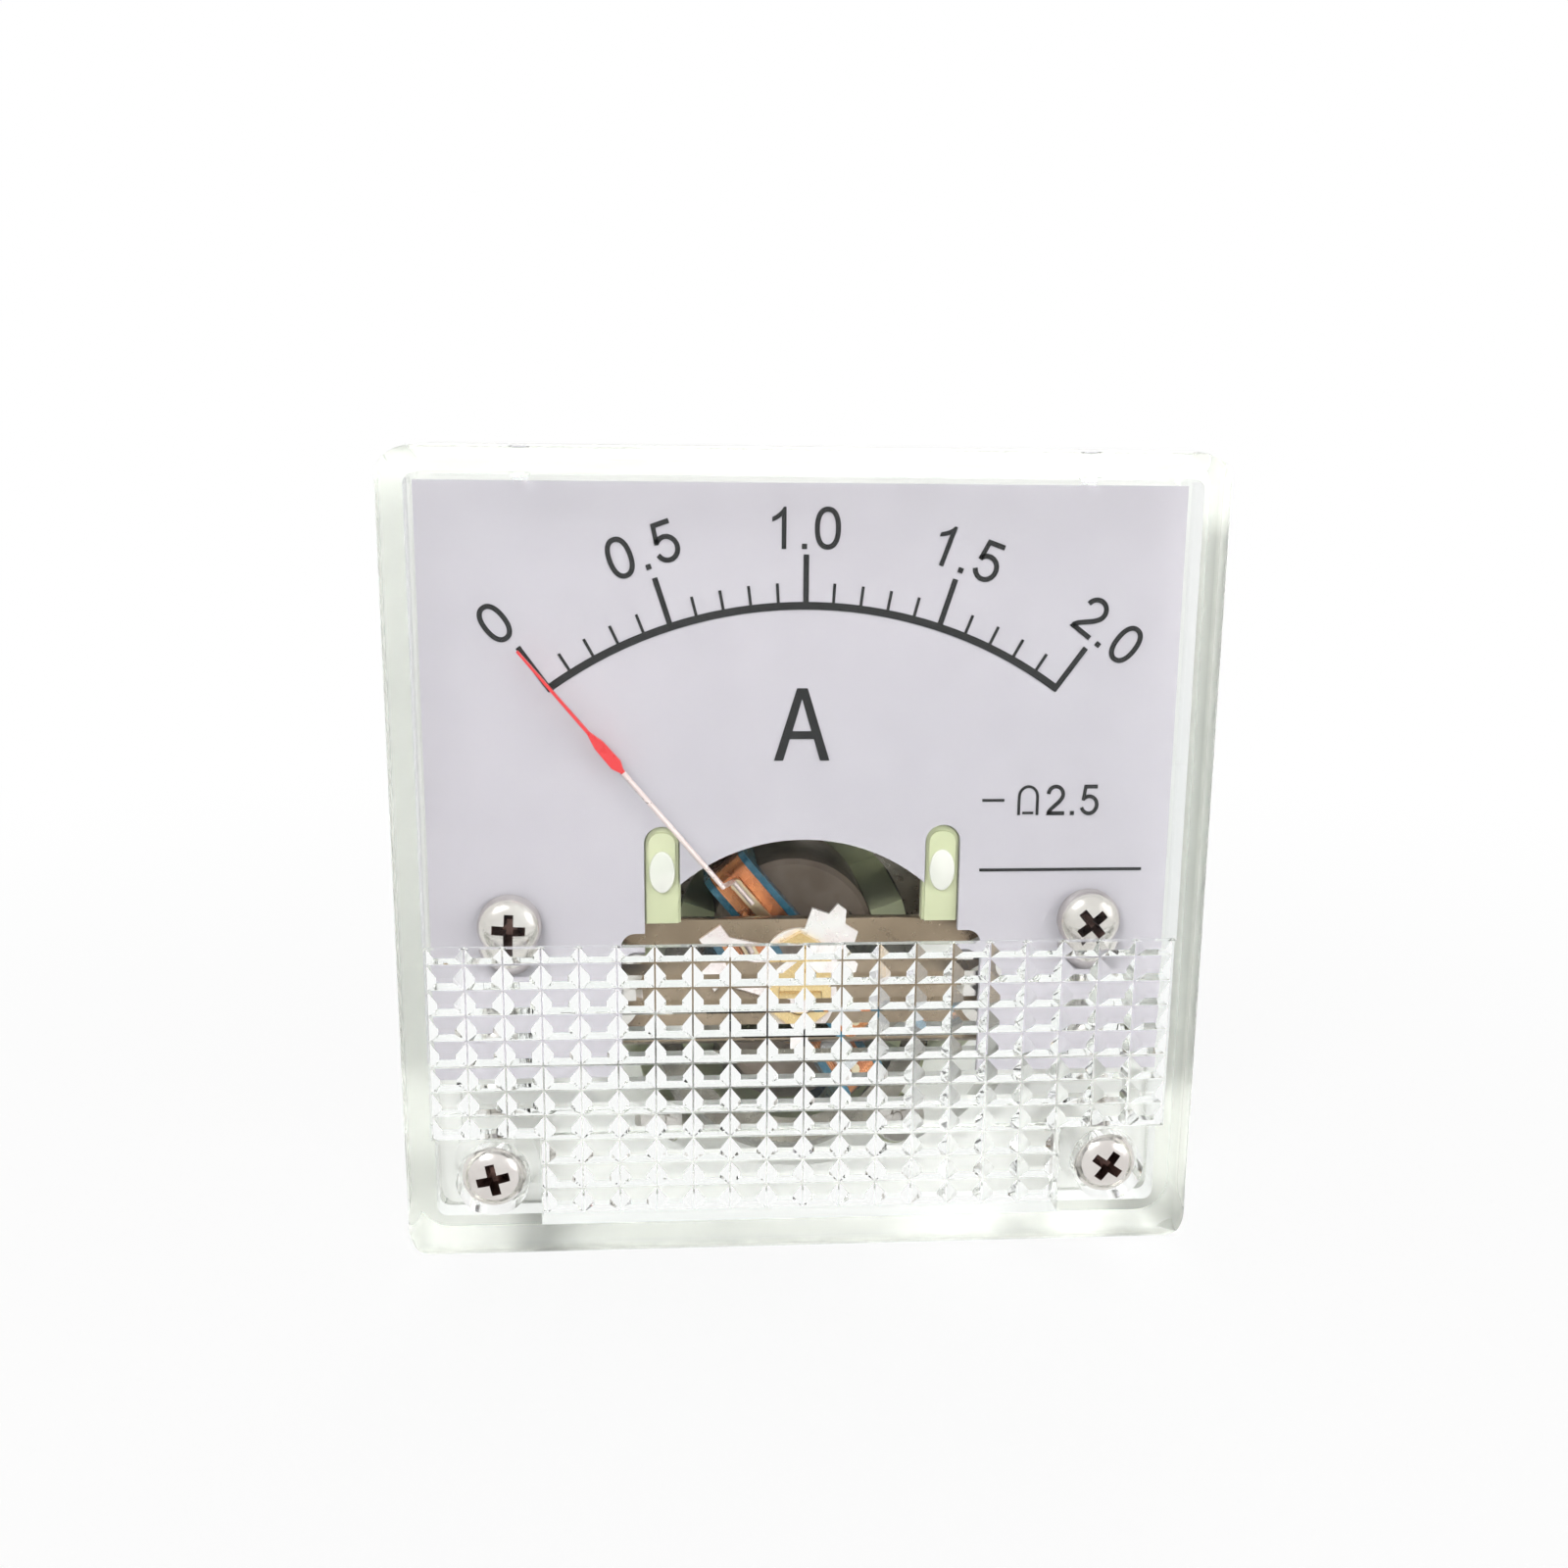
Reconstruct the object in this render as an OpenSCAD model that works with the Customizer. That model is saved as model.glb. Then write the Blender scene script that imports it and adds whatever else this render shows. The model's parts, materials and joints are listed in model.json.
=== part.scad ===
// Square moving-coil panel meter, 45 mm front on a 38 mm barrel.
// Millimetres. The origin is on the barrel axis in the plane of the panel,
// the front looks along -Y, +Z is up and the terminals point along +Y.

/* [Front and panel fit] */
// Side of the square front
front_size = 45; // [44.6:0.2:47]
// Front face to the face of the panel
front_depth = 9; // [8.8:0.1:9.6]
// Corner radius of the front, seen square on
front_corner_r = 2; // [1.4:0.1:3]
// Rounding of the edge round the front face
front_edge_r = 0.9; // [0.4:0.1:1.2]
// Thickness of the flange that lies on the panel
flange_t = 2; // [1.8:0.1:2.4]
// Diameter of the barrel behind the panel
barrel_d = 38; // [37.6:0.1:38.6]
// Length of the barrel behind the panel
barrel_depth = 19; // [18.8:0.2:24]
// Wall of the barrel
barrel_wall = 1.5; // [1.2:0.1:1.6]
// Floor of the barrel
floor_t = 1.8; // [1.4:0.1:2]
// Pitch of the square of mounting studs
stud_pitch = 32; // [31.6:0.2:33]
// Diameter of a mounting stud
stud_d = 3; // [2.6:0.1:3]
// Length of a mounting stud behind the panel face
stud_length = 9.5; // [8:0.5:14]

/* [Cover] */
// Wall of the clear cover
cover_wall = 1.4; // [1.2:0.1:1.6]
// Thickness of the plain window
window_t = 1.5; // [1.2:0.1:1.7]
// Thickness of the prismatic lower part
prism_t = 2.05; // [1.9:0.05:2.2]
// Height of the upper edge of the prisms
prism_top_z = -4.5; // [-5:0.1:-4]
// Width of one prism
prism_w = 2.1; // [1.9:0.05:2.3]
// Height of one prism
prism_h = 1.49; // [1.3:0.01:1.6]
// Height of the short first row of prisms
prism_first_h = 1; // [0.8:0.1:1.2]
// Flat left between two prisms
prism_land = 0.1; // [0.06:0.02:0.2]
// Axis of a cover screw from the side wall of the cover
cover_screw_side = 3.5; // [3.2:0.1:3.9]
// Axis of a cover screw from the bottom wall of the cover
cover_screw_foot = 3.3; // [3.1:0.1:3.7]

/* [Screws] */
// Head diameter of the small pan-head screws
head_d = 3.6; // [3.2:0.1:3.8]
// Head height of the small pan-head screws
head_h = 1.3; // [1.1:0.1:1.4]
// Thread diameter of the small pan-head screws
thread_d = 2; // [1.8:0.1:2.1]
// Span of the cross recess
cross_span = 2.1; // [1.8:0.1:2.4]

/* [Dial] */
// Front face of the dial behind the front face of the cover
dial_setback = 3.9; // [3.8:0.1:4.2]
// Thickness of the dial sheet
dial_t = 0.5; // [0.3:0.1:0.6]
// Room between the upper edge of the dial and the cover
dial_top_gap = 0.45; // [0.2:0.05:0.9]
// Lower edge of the dial
dial_bottom_z = -11.9; // [-12.4:0.1:-11.5]
// Axis of a dial screw inside the bore of the barrel
dial_screw_inset = 1; // [0.8:0.1:1.3]
// Height of the dial screws
dial_screw_z = -3.8; // [-4:0.1:-3]
// Radius of the printed scale at the foot of its marks
scale_r = 24; // [23.4:0.1:24.4]
// Height of the centre of the printed scale
scale_centre_z = -9.9; // [-10.2:0.1:-9.5]
// Half of the angle that the scale covers
scale_half_angle = 35.75; // [34:0.25:36.5]
// Number of divisions
scale_divisions = 20; // [10:5:40]
// Highest point of the arched window in the dial
arch_top_z = 1; // [0.6:0.1:1.2]
// Radius of the arched window
arch_r = 10.7; // [10:0.1:11.5]
// Half width of the lower part of the dial window
window_half_w = 10.3; // [10:0.1:11]
// Sideways place of the two upright slots
slot_x = 7.95; // [7.8:0.05:8.2]
// Width of an upright slot
slot_w = 2; // [1.8:0.1:2.2]
// Top of an upright slot
slot_top_z = 1.8; // [1.7:0.1:2.2]

/* [Movement] */
// Height of the pivot axis
pivot_z = -6.9; // [-7:0.1:-6.7]
// Pointer at rest, turned left of upright
rest_angle = 40; // [38:0.5:41]
// Angle from rest to the end of the scale
scale_sweep = 80; // [76:0.5:82]
// Angle that the stops allow past each end of the scale
overswing = 3; // [2:0.5:3.5]
// Pivot axis to the tip of the pointer
pointer_length = 24.3; // [23.5:0.1:24.8]
// Diameter of the pointer tube
pointer_d = 0.3; // [0.24:0.02:0.4]
// Radius of the core magnet
core_r = 5; // [4.8:0.05:5.1]
// Radial room between core and coil
core_gap = 0.35; // [0.3:0.05:0.45]
// Build of the winding
winding_t = 1.2; // [1:0.05:1.3]
// Width of the coil across its flanges
coil_w = 3; // [2.6:0.1:3.2]
// Thickness of a flange of the coil former
former_flange_t = 0.4; // [0.3:0.05:0.5]
// Radial room between coil and yoke
yoke_gap = 0.45; // [0.35:0.05:0.5]
// Wall of the yoke ring
yoke_t = 1.65; // [1.4:0.05:1.7]
// Thickness of the front bridge
bridge_t = 0.8; // [0.6:0.1:1]
// Height of the front bridge
bridge_h = 5.4; // [5:0.1:5.6]
// Sideways place of the pillars under the bridge
pillar_x = 10.9; // [10.8:0.1:11.2]
// Turns of a hairspring
spring_turns = 4; // [3:1:5]

/* [Terminals] */
// Distance between the two terminals
terminal_pitch = 16; // [15.6:0.2:18]
// Height of the terminals
terminal_z = 8; // [7.8:0.1:9]
// Thread diameter of a terminal
terminal_d = 4; // [3.6:0.1:4]
// Length of a terminal behind the barrel
terminal_length = 10.5; // [9.5:0.5:14]
// Width across flats of a terminal nut
nut_af = 7; // [6.6:0.1:7.4]
// Height of a terminal nut
nut_h = 2.4; // [2:0.1:2.6]

/* [Hidden] */
$fn = 48;

eps = 0.01;             // overlap of a cutter past the face it opens
seat_gap = 0.05;        // room round a piece that sits in a bore or pocket
face_gap = 0.1;         // room between two faces that are drawn together

// Stations along Y
front_y = -front_depth;
window_in_y = front_y + window_t;
prism_in_y = front_y + prism_t;
dial_y = front_y + dial_setback;
dial_back_y = dial_y + dial_t;
floor_y = barrel_depth - floor_t;
frame_seat_h = 1.75;    // seats that lift the movement off the floor
frame_plate_t = 1.6;
frame_back_y = floor_y - frame_seat_h;
frame_plate_y = frame_back_y - frame_plate_t;
coil_back_y = frame_plate_y - 1.4;
bridge_y = dial_back_y + 1.6;
bridge_back_y = bridge_y + bridge_t;
spring_strip_w = 0.3;
front_spring_y = bridge_back_y + 0.3;
arm_y = bridge_back_y + 1.1;
arm_t = 0.45;
coil_y = arm_y + arm_t;
former_web_t = 0.15;
coil_t = winding_t + former_web_t;
core_y = coil_y + coil_t + 1.4;
core_back_y = coil_back_y - coil_t - 1;
rear_spring_y = coil_back_y + 0.3;
rear_bridge_t = 0.5;
rear_screw_x = 4.4;
rear_screw_r = 0.57;
rear_bridge_r = 1.9;
lug_y = barrel_depth + nut_h;
lug_t = 0.6;
washer_y = lug_y + lug_t;
washer_t = 0.8;
lug_w = 3;
lug_out = 8.5;          // terminal axis to the far end of a lug
eye_out = 6.4;          // terminal axis to the eye of a lug
eye_r = 0.8;
stud_hex_y = floor_y - 1.6;     // inner face of a terminal's hexagon head

// Radii round the pivot axis
coil_in_r = core_r + core_gap;
coil_out_r = coil_in_r + coil_t;
yoke_r = coil_out_r + yoke_gap;
yoke_out_r = yoke_r + yoke_t;
yoke_y = core_y + 0.6;
yoke_back_y = core_back_y + 0.6;

// Front
half = front_size / 2;
inner_half = half - cover_wall;
barrel_r = barrel_d / 2;
cavity_r = barrel_r - barrel_wall;
stud_xz = stud_pitch / 2;
inner_corner_r = 0.6;
boss_face_y = -flange_t - 2.4;
boss_r = 2.4;
cover_well_y = front_y + 0.1 + head_h;
cover_screw_tip_y = -flange_t + 0.35;
stud_head_y = -1.35;
stud_collar_r = stud_d / 2 + 0.25;
cover_screw_x = inner_half - cover_screw_side;
cover_screw_z = cover_screw_foot - inner_half;
dial_half = inner_half - 0.17;
dial_top_z = inner_half - dial_top_gap;
dial_screw_x = cavity_r - dial_screw_inset;
dial_boss_r = 2.2;
dial_thread = 4.6;      // thread of a dial screw behind the dial
dial_pad = [15, 17];    // pads behind the upper corners of the dial
bump_x = 15.2;
bump_r = 0.6;
rim_t = 1.1;
rim_half = inner_half - 0.2;
block_x = cover_screw_x - 2.6;
block_z = cover_screw_z + 2;
prism_cols = floor((2 * inner_half + prism_land) / prism_w);
prism_rows = floor((prism_top_z - prism_first_h + inner_half - 0.3) / prism_h);
arch_z = arch_top_z - arch_r;
shoulder_z = -4.4;

// Inner wiring
lead_r = 0.35;
lead_start = [-terminal_pitch / 2 - nut_af / 2 - 0.05, floor_y - 0.9, terminal_z];
lead_x = 3.3 - cavity_r;
resistor_a = [lead_x, 11, 5.5];
resistor_b = [lead_x - 0.4, 8, 2.5];
resistor_r = 0.85;

// Movement details
ear_r = 1.8;
ear_angle = 128;        // lower ears, turned from upright
ear_in_r = cavity_r - ear_r - 0.17;     // ears just clear the bore of the barrel
ear_side = pivot_z * cos(ear_angle);
frame_ear_r = sqrt(ear_in_r ^ 2 - pivot_z ^ 2 + ear_side ^ 2) - ear_side;
top_ear_r = yoke_out_r + 1.9;
post_w = slot_w - 0.5;
post_top_z = slot_top_z - 0.4;
post_bottom_z = -1.8;
post_mid_z = (post_top_z + post_bottom_z) / 2 - pivot_z;
post_bar_r = 1.5;
seat_r = 1.7;
bridge_thread = 4.2;    // thread of a bridge screw behind the bridge
pillar_r = 1.7;
web_half_angle = 20;
jewel_screw_r = 1.25;
jewel_r = 0.6;
jewel_t = 0.5;
pivot_r = 0.35;
hub_r = 0.8;
spring_r = 2.7;
spring_t = 0.07;
lock_nut_af = 3.6;
lock_nut_h = 0.5;
lever_t = 0.3;
stop_r = 3.9;
stop_pin_r = 0.2;
arm_half_w = 0.35;
cross_half_w = 0.25;
side_arm_r = 2.2;
tail_weight_in_r = 2.9;
tail_weight_out_r = 5.42;
weight_front_y = arm_y - 0.35;
stop_play = 0.06;
stop_angle = scale_sweep / 2 + overswing + asin((arm_half_w + stop_pin_r + stop_play) / stop_r);
crank_in_r = 5.9;
crank_out_r = 7.1;
pointer_y = dial_y - 0.9;

// ---------------------------------------------------------------- helpers

// Rod along Y from y0 to y1, with radius r0 at y0 and r1 at y1
module rod(y0, y1, r0, r1 = -1) {
    translate([0, y1, 0]) rotate([90, 0, 0])
        cylinder(h = y1 - y0, r1 = r1 < 0 ? r0 : r1, r2 = r0);
}

// Outline drawn in X and Z, given the thickness t from y0 towards +Y
module sheet(y0, t) {
    translate([0, y0 + t, 0]) rotate([90, 0, 0]) linear_extrude(t) children();
}

module rounded_rect(w, h, r) {
    square([w - 2 * r, h], center = true);
    square([w, h - 2 * r], center = true);
    for (x = [-1, 1], y = [-1, 1])
        translate([x * (w / 2 - r), y * (h / 2 - r)]) circle(r);
}

// Bar between two points of the X-Z plane, a little slimmer than its round ends
module round_bar(x0, z0, x1, z1, r) {
    run = norm([x1 - x0, z1 - z0]);
    w = 2 * (r - 0.03);
    translate([x0, z0]) circle(r);
    translate([x1, z1]) circle(r);
    translate([x0, z0]) rotate(atan2(z1 - z0, x1 - x0))
        translate([0, -w / 2]) square([run, w]);
}

module at(x, z) {
    translate([x, 0, z]) children();
}

module both_sides() {
    children();
    mirror([1, 0, 0]) children();
}

module at_pivot() {
    translate([0, 0, pivot_z]) children();
}

// Local upright is the direction of the pointer at rest
module swung() {
    at_pivot() rotate([0, -rest_angle, 0]) children();
}

// Turned from upright, clockwise seen from the front
module turned(angle) {
    rotate([0, angle, 0]) children();
}

module hex(y0, t, af) {
    translate([0, y0 + t, 0]) rotate([90, 30, 0]) cylinder(h = t, r = af / sqrt(3), $fn = 6);
}

// Cross-recess pan-head screw: head from y0, thread tip at tip_y
module pan_screw(y0, tip_y, turn = 0) {
    rim = 0.45;
    difference() {
        union() {
            rod(y0 + rim, y0 + head_h, head_d / 2);
            rod(y0, y0 + rim, head_d / 2 - 0.4, head_d / 2);
            rod(y0 + head_h, tip_y - 0.4, thread_d / 2);
            rod(tip_y - 0.4, tip_y, thread_d / 2, thread_d / 4);
        }
        rotate([0, turn, 0]) for (a = [0, 90]) rotate([0, a, 0])
            translate([-cross_span / 2, y0 - eps, -0.26]) cube([cross_span, 0.75, 0.52]);
        rod(y0 - eps, y0 + 0.95, 0.62, 0.3);
    }
}

// Rings of a round wire, carried along each leg to the mitre plane at its end
function wire_rings(points, ring, i) =
    i == len(points) - 1 ? [ring] :
    let (leg = points[i + 1] - points[i],
        along = leg / norm(leg),
        next = i + 2 < len(points) ? points[i + 2] - points[i + 1] : leg,
        plane = along + next / norm(next),
        moved = [for (q = ring)
            q + along * (((points[i + 1] - q) * plane) / (along * plane))])
    concat([ring], wire_rings(points, moved, i + 1));

// Wire through a list of points, mitred at the bends
module wire(points, r, sides = 10) {
    first = (points[1] - points[0]) / norm(points[1] - points[0]);
    side = abs(first.x) > 0.7 ? cross(first, [0, 0, 1]) : cross(first, [1, 0, 0]);
    u = side / norm(side);
    v = cross(first, u);
    ring = [for (k = [0 : sides - 1])
        points[0] + r * (cos(360 * k / sides) * u + sin(360 * k / sides) * v)];
    rings = wire_rings(points, ring, 0);
    n = len(rings);
    walls = [for (i = [0 : n - 2], k = [0 : sides - 1])
        let (a = i * sides + k, b = i * sides + (k + 1) % sides)
        [a, a + sides, b + sides, b]];
    polyhedron([for (one = rings, p = one) p],
        concat([[for (k = [0 : sides - 1]) k]], walls,
            [[for (k = [sides - 1 : -1 : 0]) (n - 1) * sides + k]]), convexity = 6);
}

// Flat spiral from r0 to r1 in the X-Z plane
module spiral(y0, r0, r1, turns) {
    steps = 30 * turns;
    inner = [for (i = [0 : steps])
        let (a = 360 * turns * i / steps, r = r0 + (r1 - r0) * i / steps)
        [r * sin(a), -r * cos(a)]];
    outer = [for (i = [steps : -1 : 0])
        let (a = 360 * turns * i / steps, r = r0 + (r1 - r0) * i / steps + spring_t)
        [r * sin(a), -r * cos(a)]];
    sheet(y0, spring_strip_w) polygon(concat(inner, outer));
}

// ---------------------------------------------------------------- housing

// Side view of the front: a bar as deep as y1 with rounded front edges
module front_profile(y1) {
    edge = half - front_edge_r;
    translate([-half, front_y + front_edge_r]) square([front_size, y1 - front_y - front_edge_r]);
    translate([-edge, front_y]) square([2 * edge, y1 - front_y]);
    for (s = [-1, 1]) translate([s * edge, front_y + front_edge_r]) circle(front_edge_r);
}

// Box with a flat front, round corners and a rounded front edge
module soft_box(y1) {
    intersection() {
        sheet(front_y, y1 - front_y) rounded_rect(front_size, front_size, front_corner_r);
        linear_extrude(front_size, center = true) front_profile(y1);
        rotate([0, 90, 0]) linear_extrude(front_size, center = true) front_profile(y1);
    }
}

// Teeth of one V-groove set: feet list the borders, depth follows the width
module groove_teeth(borders, length) {
    for (i = [0 : len(borders) - 2]) {
        a = borders[i] + prism_land / 2;
        b = borders[i + 1] - prism_land / 2;
        d = (b - a) / 2;
        translate([0, 0, -length / 2]) linear_extrude(length)
            polygon([[a - eps, eps], [a, 0], [(a + b) / 2, -d], [b, 0], [b + eps, eps]]);
    }
}

// Hip-roof pits cut by two crossing sets of grooves
module prism_pits() {
    col_start = -prism_cols * prism_w / 2;
    cols = [for (i = [0 : prism_cols]) col_start + i * prism_w];
    rows = concat([prism_top_z],
        [for (i = [0 : prism_rows]) prism_top_z - prism_first_h - i * prism_h]);
    flipped = [for (i = [len(rows) - 1 : -1 : 0]) rows[i]];
    translate([0, prism_in_y, 0]) intersection() {
        groove_teeth(cols, 2 * front_size);
        rotate([0, -90, 0]) groove_teeth(flipped, 2 * front_size);
        translate([0, 0, -inner_half / 2])
            cube([2 * inner_half - 0.02, 4, 2 * inner_half], center = true);
        difference() {
            translate([0, 0, -inner_half / 2]) cube([2 * inner_half, 4, 2 * inner_half], center = true);
            both_sides() translate([block_x - prism_land, -3, -half])
                cube([half, 6, half + block_z + prism_land]);
        }
    }
}

module cover() {
    well_r = head_d / 2 + 0.25;
    color([0.93, 0.96, 0.95, 0.5]) difference() {
        union() {
            difference() {
                soft_box(-flange_t);
                sheet(window_in_y, -flange_t - window_in_y + eps)
                    rounded_rect(2 * inner_half, 2 * inner_half, inner_corner_r);
            }
            // prismatic pad on the inside of the lower front
            difference() {
                translate([-inner_half - eps, window_in_y - eps, -inner_half - eps])
                    cube([2 * inner_half + 2 * eps, prism_in_y - window_in_y + eps,
                        prism_top_z + inner_half + eps]);
                prism_pits();
            }
            // corner blocks that the screws pass through
            both_sides() translate([block_x, window_in_y - eps, -inner_half - eps])
                cube([inner_half - block_x + eps, boss_face_y - window_in_y - face_gap,
                    block_z + inner_half + eps]);
            // two bumps on the upper wall, in front of the dial
            both_sides() translate([bump_x, dial_y - bump_r - 0.2, inner_half - 0.4])
                cylinder(h = 0.41, r1 = bump_r - 0.25, r2 = bump_r, $fn = 24);
        }
        both_sides() at(cover_screw_x, cover_screw_z) {
            rod(front_y - eps, cover_well_y, well_r);
            rod(front_y, boss_face_y, thread_d / 2 + 0.15);
        }
    }
}

module base() {
    color([0.86, 0.89, 0.68, 0.8]) difference() {
        union() {
            difference() {
                union() {
                    sheet(-flange_t, flange_t)
                        rounded_rect(front_size, front_size, front_corner_r);
                    rod(-eps, barrel_depth - 0.5, barrel_r);
                    rod(barrel_depth - 0.5, barrel_depth, barrel_r, barrel_r - 0.5);
                }
                rod(-flange_t - eps, floor_y, cavity_r);
            }
            // rim that centres the cover
            difference() {
                sheet(-flange_t - rim_t, rim_t + eps)
                    rounded_rect(2 * rim_half, 2 * rim_half, 0.8);
                sheet(-flange_t - rim_t - eps, rim_t + 3 * eps)
                    rounded_rect(2 * (rim_half - rim_t), 2 * (rim_half - rim_t), 0.5);
            }
            // bosses under the cover screws
            both_sides() at(cover_screw_x, cover_screw_z) rod(boss_face_y, -flange_t + eps, boss_r);
            // bosses under the dial screws, standing in the barrel wall
            intersection() {
                both_sides() at(dial_screw_x, dial_screw_z) rod(dial_back_y, 6, dial_boss_r);
                union() {
                    rod(-0.5, 7, cavity_r + 0.5);
                    sheet(dial_back_y - eps, -dial_back_y) square(2 * inner_half, center = true);
                }
            }
            // pads behind the upper corners of the dial
            both_sides() at(dial_pad.x, dial_pad.y) rod(dial_back_y, -flange_t + eps, 1.5);
            // seats of the movement on the floor
            at_pivot() {
                for (a = [-ear_angle, ear_angle]) turned(a) at(0, frame_ear_r)
                    rod(frame_back_y, floor_y + eps, seat_r);
                at(0, top_ear_r) rod(frame_back_y, floor_y + eps, seat_r);
            }
        }
        both_sides() at(cover_screw_x, cover_screw_z)
            rod(boss_face_y - eps, cover_screw_tip_y + 0.1, thread_d / 2 + seat_gap / 2);
        both_sides() at(dial_screw_x, dial_screw_z)
            rod(dial_back_y - eps, dial_back_y + dial_thread + 0.4, thread_d / 2 + seat_gap / 2);
        at_pivot() {
            for (a = [-ear_angle, ear_angle]) turned(a) at(0, frame_ear_r)
                rod(frame_back_y - eps, floor_y + 1, thread_d / 2 + seat_gap / 2);
            at(0, top_ear_r) rod(frame_back_y - eps, floor_y + 1, thread_d / 2 + seat_gap / 2);
        }
        for (x = [-stud_xz, stud_xz], z = [-stud_xz, stud_xz]) at(x, z) {
            rod(stud_head_y - 0.02, stud_head_y + 0.9, stud_d / 2 + 0.8);
            rod(stud_head_y, eps, stud_collar_r + seat_gap / 2);
        }
        both_sides() at(terminal_pitch / 2, terminal_z)
            rod(floor_y - 1, barrel_depth + 1, terminal_d / 2 + seat_gap / 2);
    }
}

module mounting_studs() {
    color([0.85, 0.75, 0.45]) for (x = [-stud_xz, stud_xz], z = [-stud_xz, stud_xz]) at(x, z) {
        rod(stud_head_y, stud_head_y + 0.85, stud_d / 2 + 0.78);
        rod(stud_head_y + 0.4, -0.05, stud_collar_r);
        rod(-0.1, stud_length - 0.3, stud_d / 2);
        rod(stud_length - 0.3, stud_length, stud_d / 2, stud_d / 2 - 0.3);
    }
}

module cover_screws() {
    color([0.86, 0.85, 0.82]) {
        at(cover_screw_x, cover_screw_z) pan_screw(front_y + 0.1, cover_screw_tip_y, 35);
        at(-cover_screw_x, cover_screw_z) pan_screw(front_y + 0.1, cover_screw_tip_y, -12);
    }
}

// ---------------------------------------------------------------- dial

module dial_outline() {
    difference() {
        translate([-dial_half, dial_bottom_z]) square([2 * dial_half, dial_top_z - dial_bottom_z]);
        translate([-window_half_w, dial_bottom_z - 1])
            square([2 * window_half_w, shoulder_z - 0.8 - dial_bottom_z + 1]);
        for (s = [-1, 1]) translate([s * (window_half_w - 0.8), shoulder_z - 0.8]) circle(0.8);
        translate([-window_half_w + 0.8, shoulder_z - 2]) square([2 * window_half_w - 1.6, 2]);
        intersection() {
            translate([0, arch_z]) circle(arch_r, $fn = 96);
            translate([-slot_x, shoulder_z - 2]) square([2 * slot_x, arch_top_z - shoulder_z + 3]);
        }
        for (s = [-1, 1]) translate([s * slot_x, 0]) {
            translate([-slot_w / 2, shoulder_z - 1])
                square([slot_w, slot_top_z - slot_w / 2 - shoulder_z + 1]);
            translate([0, slot_top_z - slot_w / 2]) circle(slot_w / 2);
        }
    }
}

module dial_plate() {
    color([0.87, 0.86, 0.89]) difference() {
        sheet(dial_y, dial_t) dial_outline();
        both_sides() at(dial_screw_x, dial_screw_z)
            rod(dial_y - 1, dial_back_y + 1, thread_d / 2 + 0.15);
    }
}

module dial_scale() {
    ink = 0.04;
    line_w = 0.42;
    a = scale_half_angle;
    color([0.1, 0.1, 0.1]) translate([0, dial_y, scale_centre_z]) {
        rotate([90, 0, 0]) rotate([0, 0, 90 - a]) rotate_extrude(angle = 2 * a, $fn = 180)
            translate([scale_r - line_w / 2, 0]) square([line_w, ink]);
        for (i = [0 : scale_divisions]) turned(-a + 2 * a * i / scale_divisions) {
            major = i % 5 == 0;
            w = major ? 0.3 : 0.16;
            translate([-w / 2, -ink, scale_r - line_w / 2 + 0.02])
                cube([w, ink, (major ? 2.74 : 1.23) + line_w / 2]);
        }
    }
}

module dial_screws() {
    color([0.86, 0.85, 0.82]) {
        at(dial_screw_x, dial_screw_z) pan_screw(dial_y - head_h, dial_back_y + dial_thread, 50);
        at(-dial_screw_x, dial_screw_z) pan_screw(dial_y - head_h, dial_back_y + dial_thread, 3);
    }
}

// ---------------------------------------------------------------- terminals

module terminal_studs() {
    color([0.83, 0.68, 0.35]) both_sides() at(terminal_pitch / 2, terminal_z) {
        hex(stud_hex_y, floor_y - stud_hex_y, nut_af - 1);
        rod(floor_y - 0.2, barrel_depth + terminal_length - 0.4, terminal_d / 2);
        rod(barrel_depth + terminal_length - 0.4, barrel_depth + terminal_length,
            terminal_d / 2, terminal_d / 2 - 0.4);
    }
}

module terminal_hardware(y0, t) {
    both_sides() at(terminal_pitch / 2, terminal_z) difference() {
        hex(y0, t, nut_af);
        rod(y0 - 1, y0 + t + 1, terminal_d / 2 + seat_gap / 2);
    }
}

module terminal_fixing_nuts() {
    color([0.83, 0.68, 0.35]) terminal_hardware(barrel_depth, nut_h);
}

module terminal_nuts() {
    color([0.83, 0.68, 0.35]) terminal_hardware(washer_y + washer_t, nut_h);
}

module terminal_washers() {
    color([0.75, 0.75, 0.72]) both_sides() at(terminal_pitch / 2, terminal_z) difference() {
        rod(washer_y, washer_y + washer_t, nut_af / 2 + 0.3);
        rod(washer_y - 1, washer_y + 2, terminal_d / 2 + 0.15);
    }
}

module solder_lugs() {
    color([0.78, 0.78, 0.76]) both_sides() at(terminal_pitch / 2, terminal_z) difference() {
        sheet(lug_y, lug_t) {
            circle(nut_af / 2 + 0.2);
            translate([0, lug_out / 2]) rounded_rect(lug_w, lug_out, 0.4 * lug_w);
        }
        rod(lug_y - 1, lug_y + 2, terminal_d / 2 + 0.15);
        at(0, eye_out) rod(lug_y - 1, lug_y + 2, eye_r);
    }
}

module shunt() {
    wire_r = 0.6;
    foot_y = stud_hex_y;
    bend_r = 3;
    color([0.72, 0.55, 0.42]) at(0, terminal_z) {
        both_sides() {
            at(terminal_pitch / 2, 0) rod(foot_y - 2, foot_y, wire_r);
            translate([terminal_pitch / 2 - bend_r, foot_y - 2, 0]) rotate([0, 0, -90])
                rotate_extrude(angle = 90) translate([bend_r, 0]) circle(wire_r, $fn = 24);
        }
        translate([-terminal_pitch / 2 + bend_r, foot_y - 2 - bend_r, 0]) rotate([0, 90, 0])
            cylinder(h = terminal_pitch - 2 * bend_r, r = wire_r, $fn = 24);
    }
}

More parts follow.
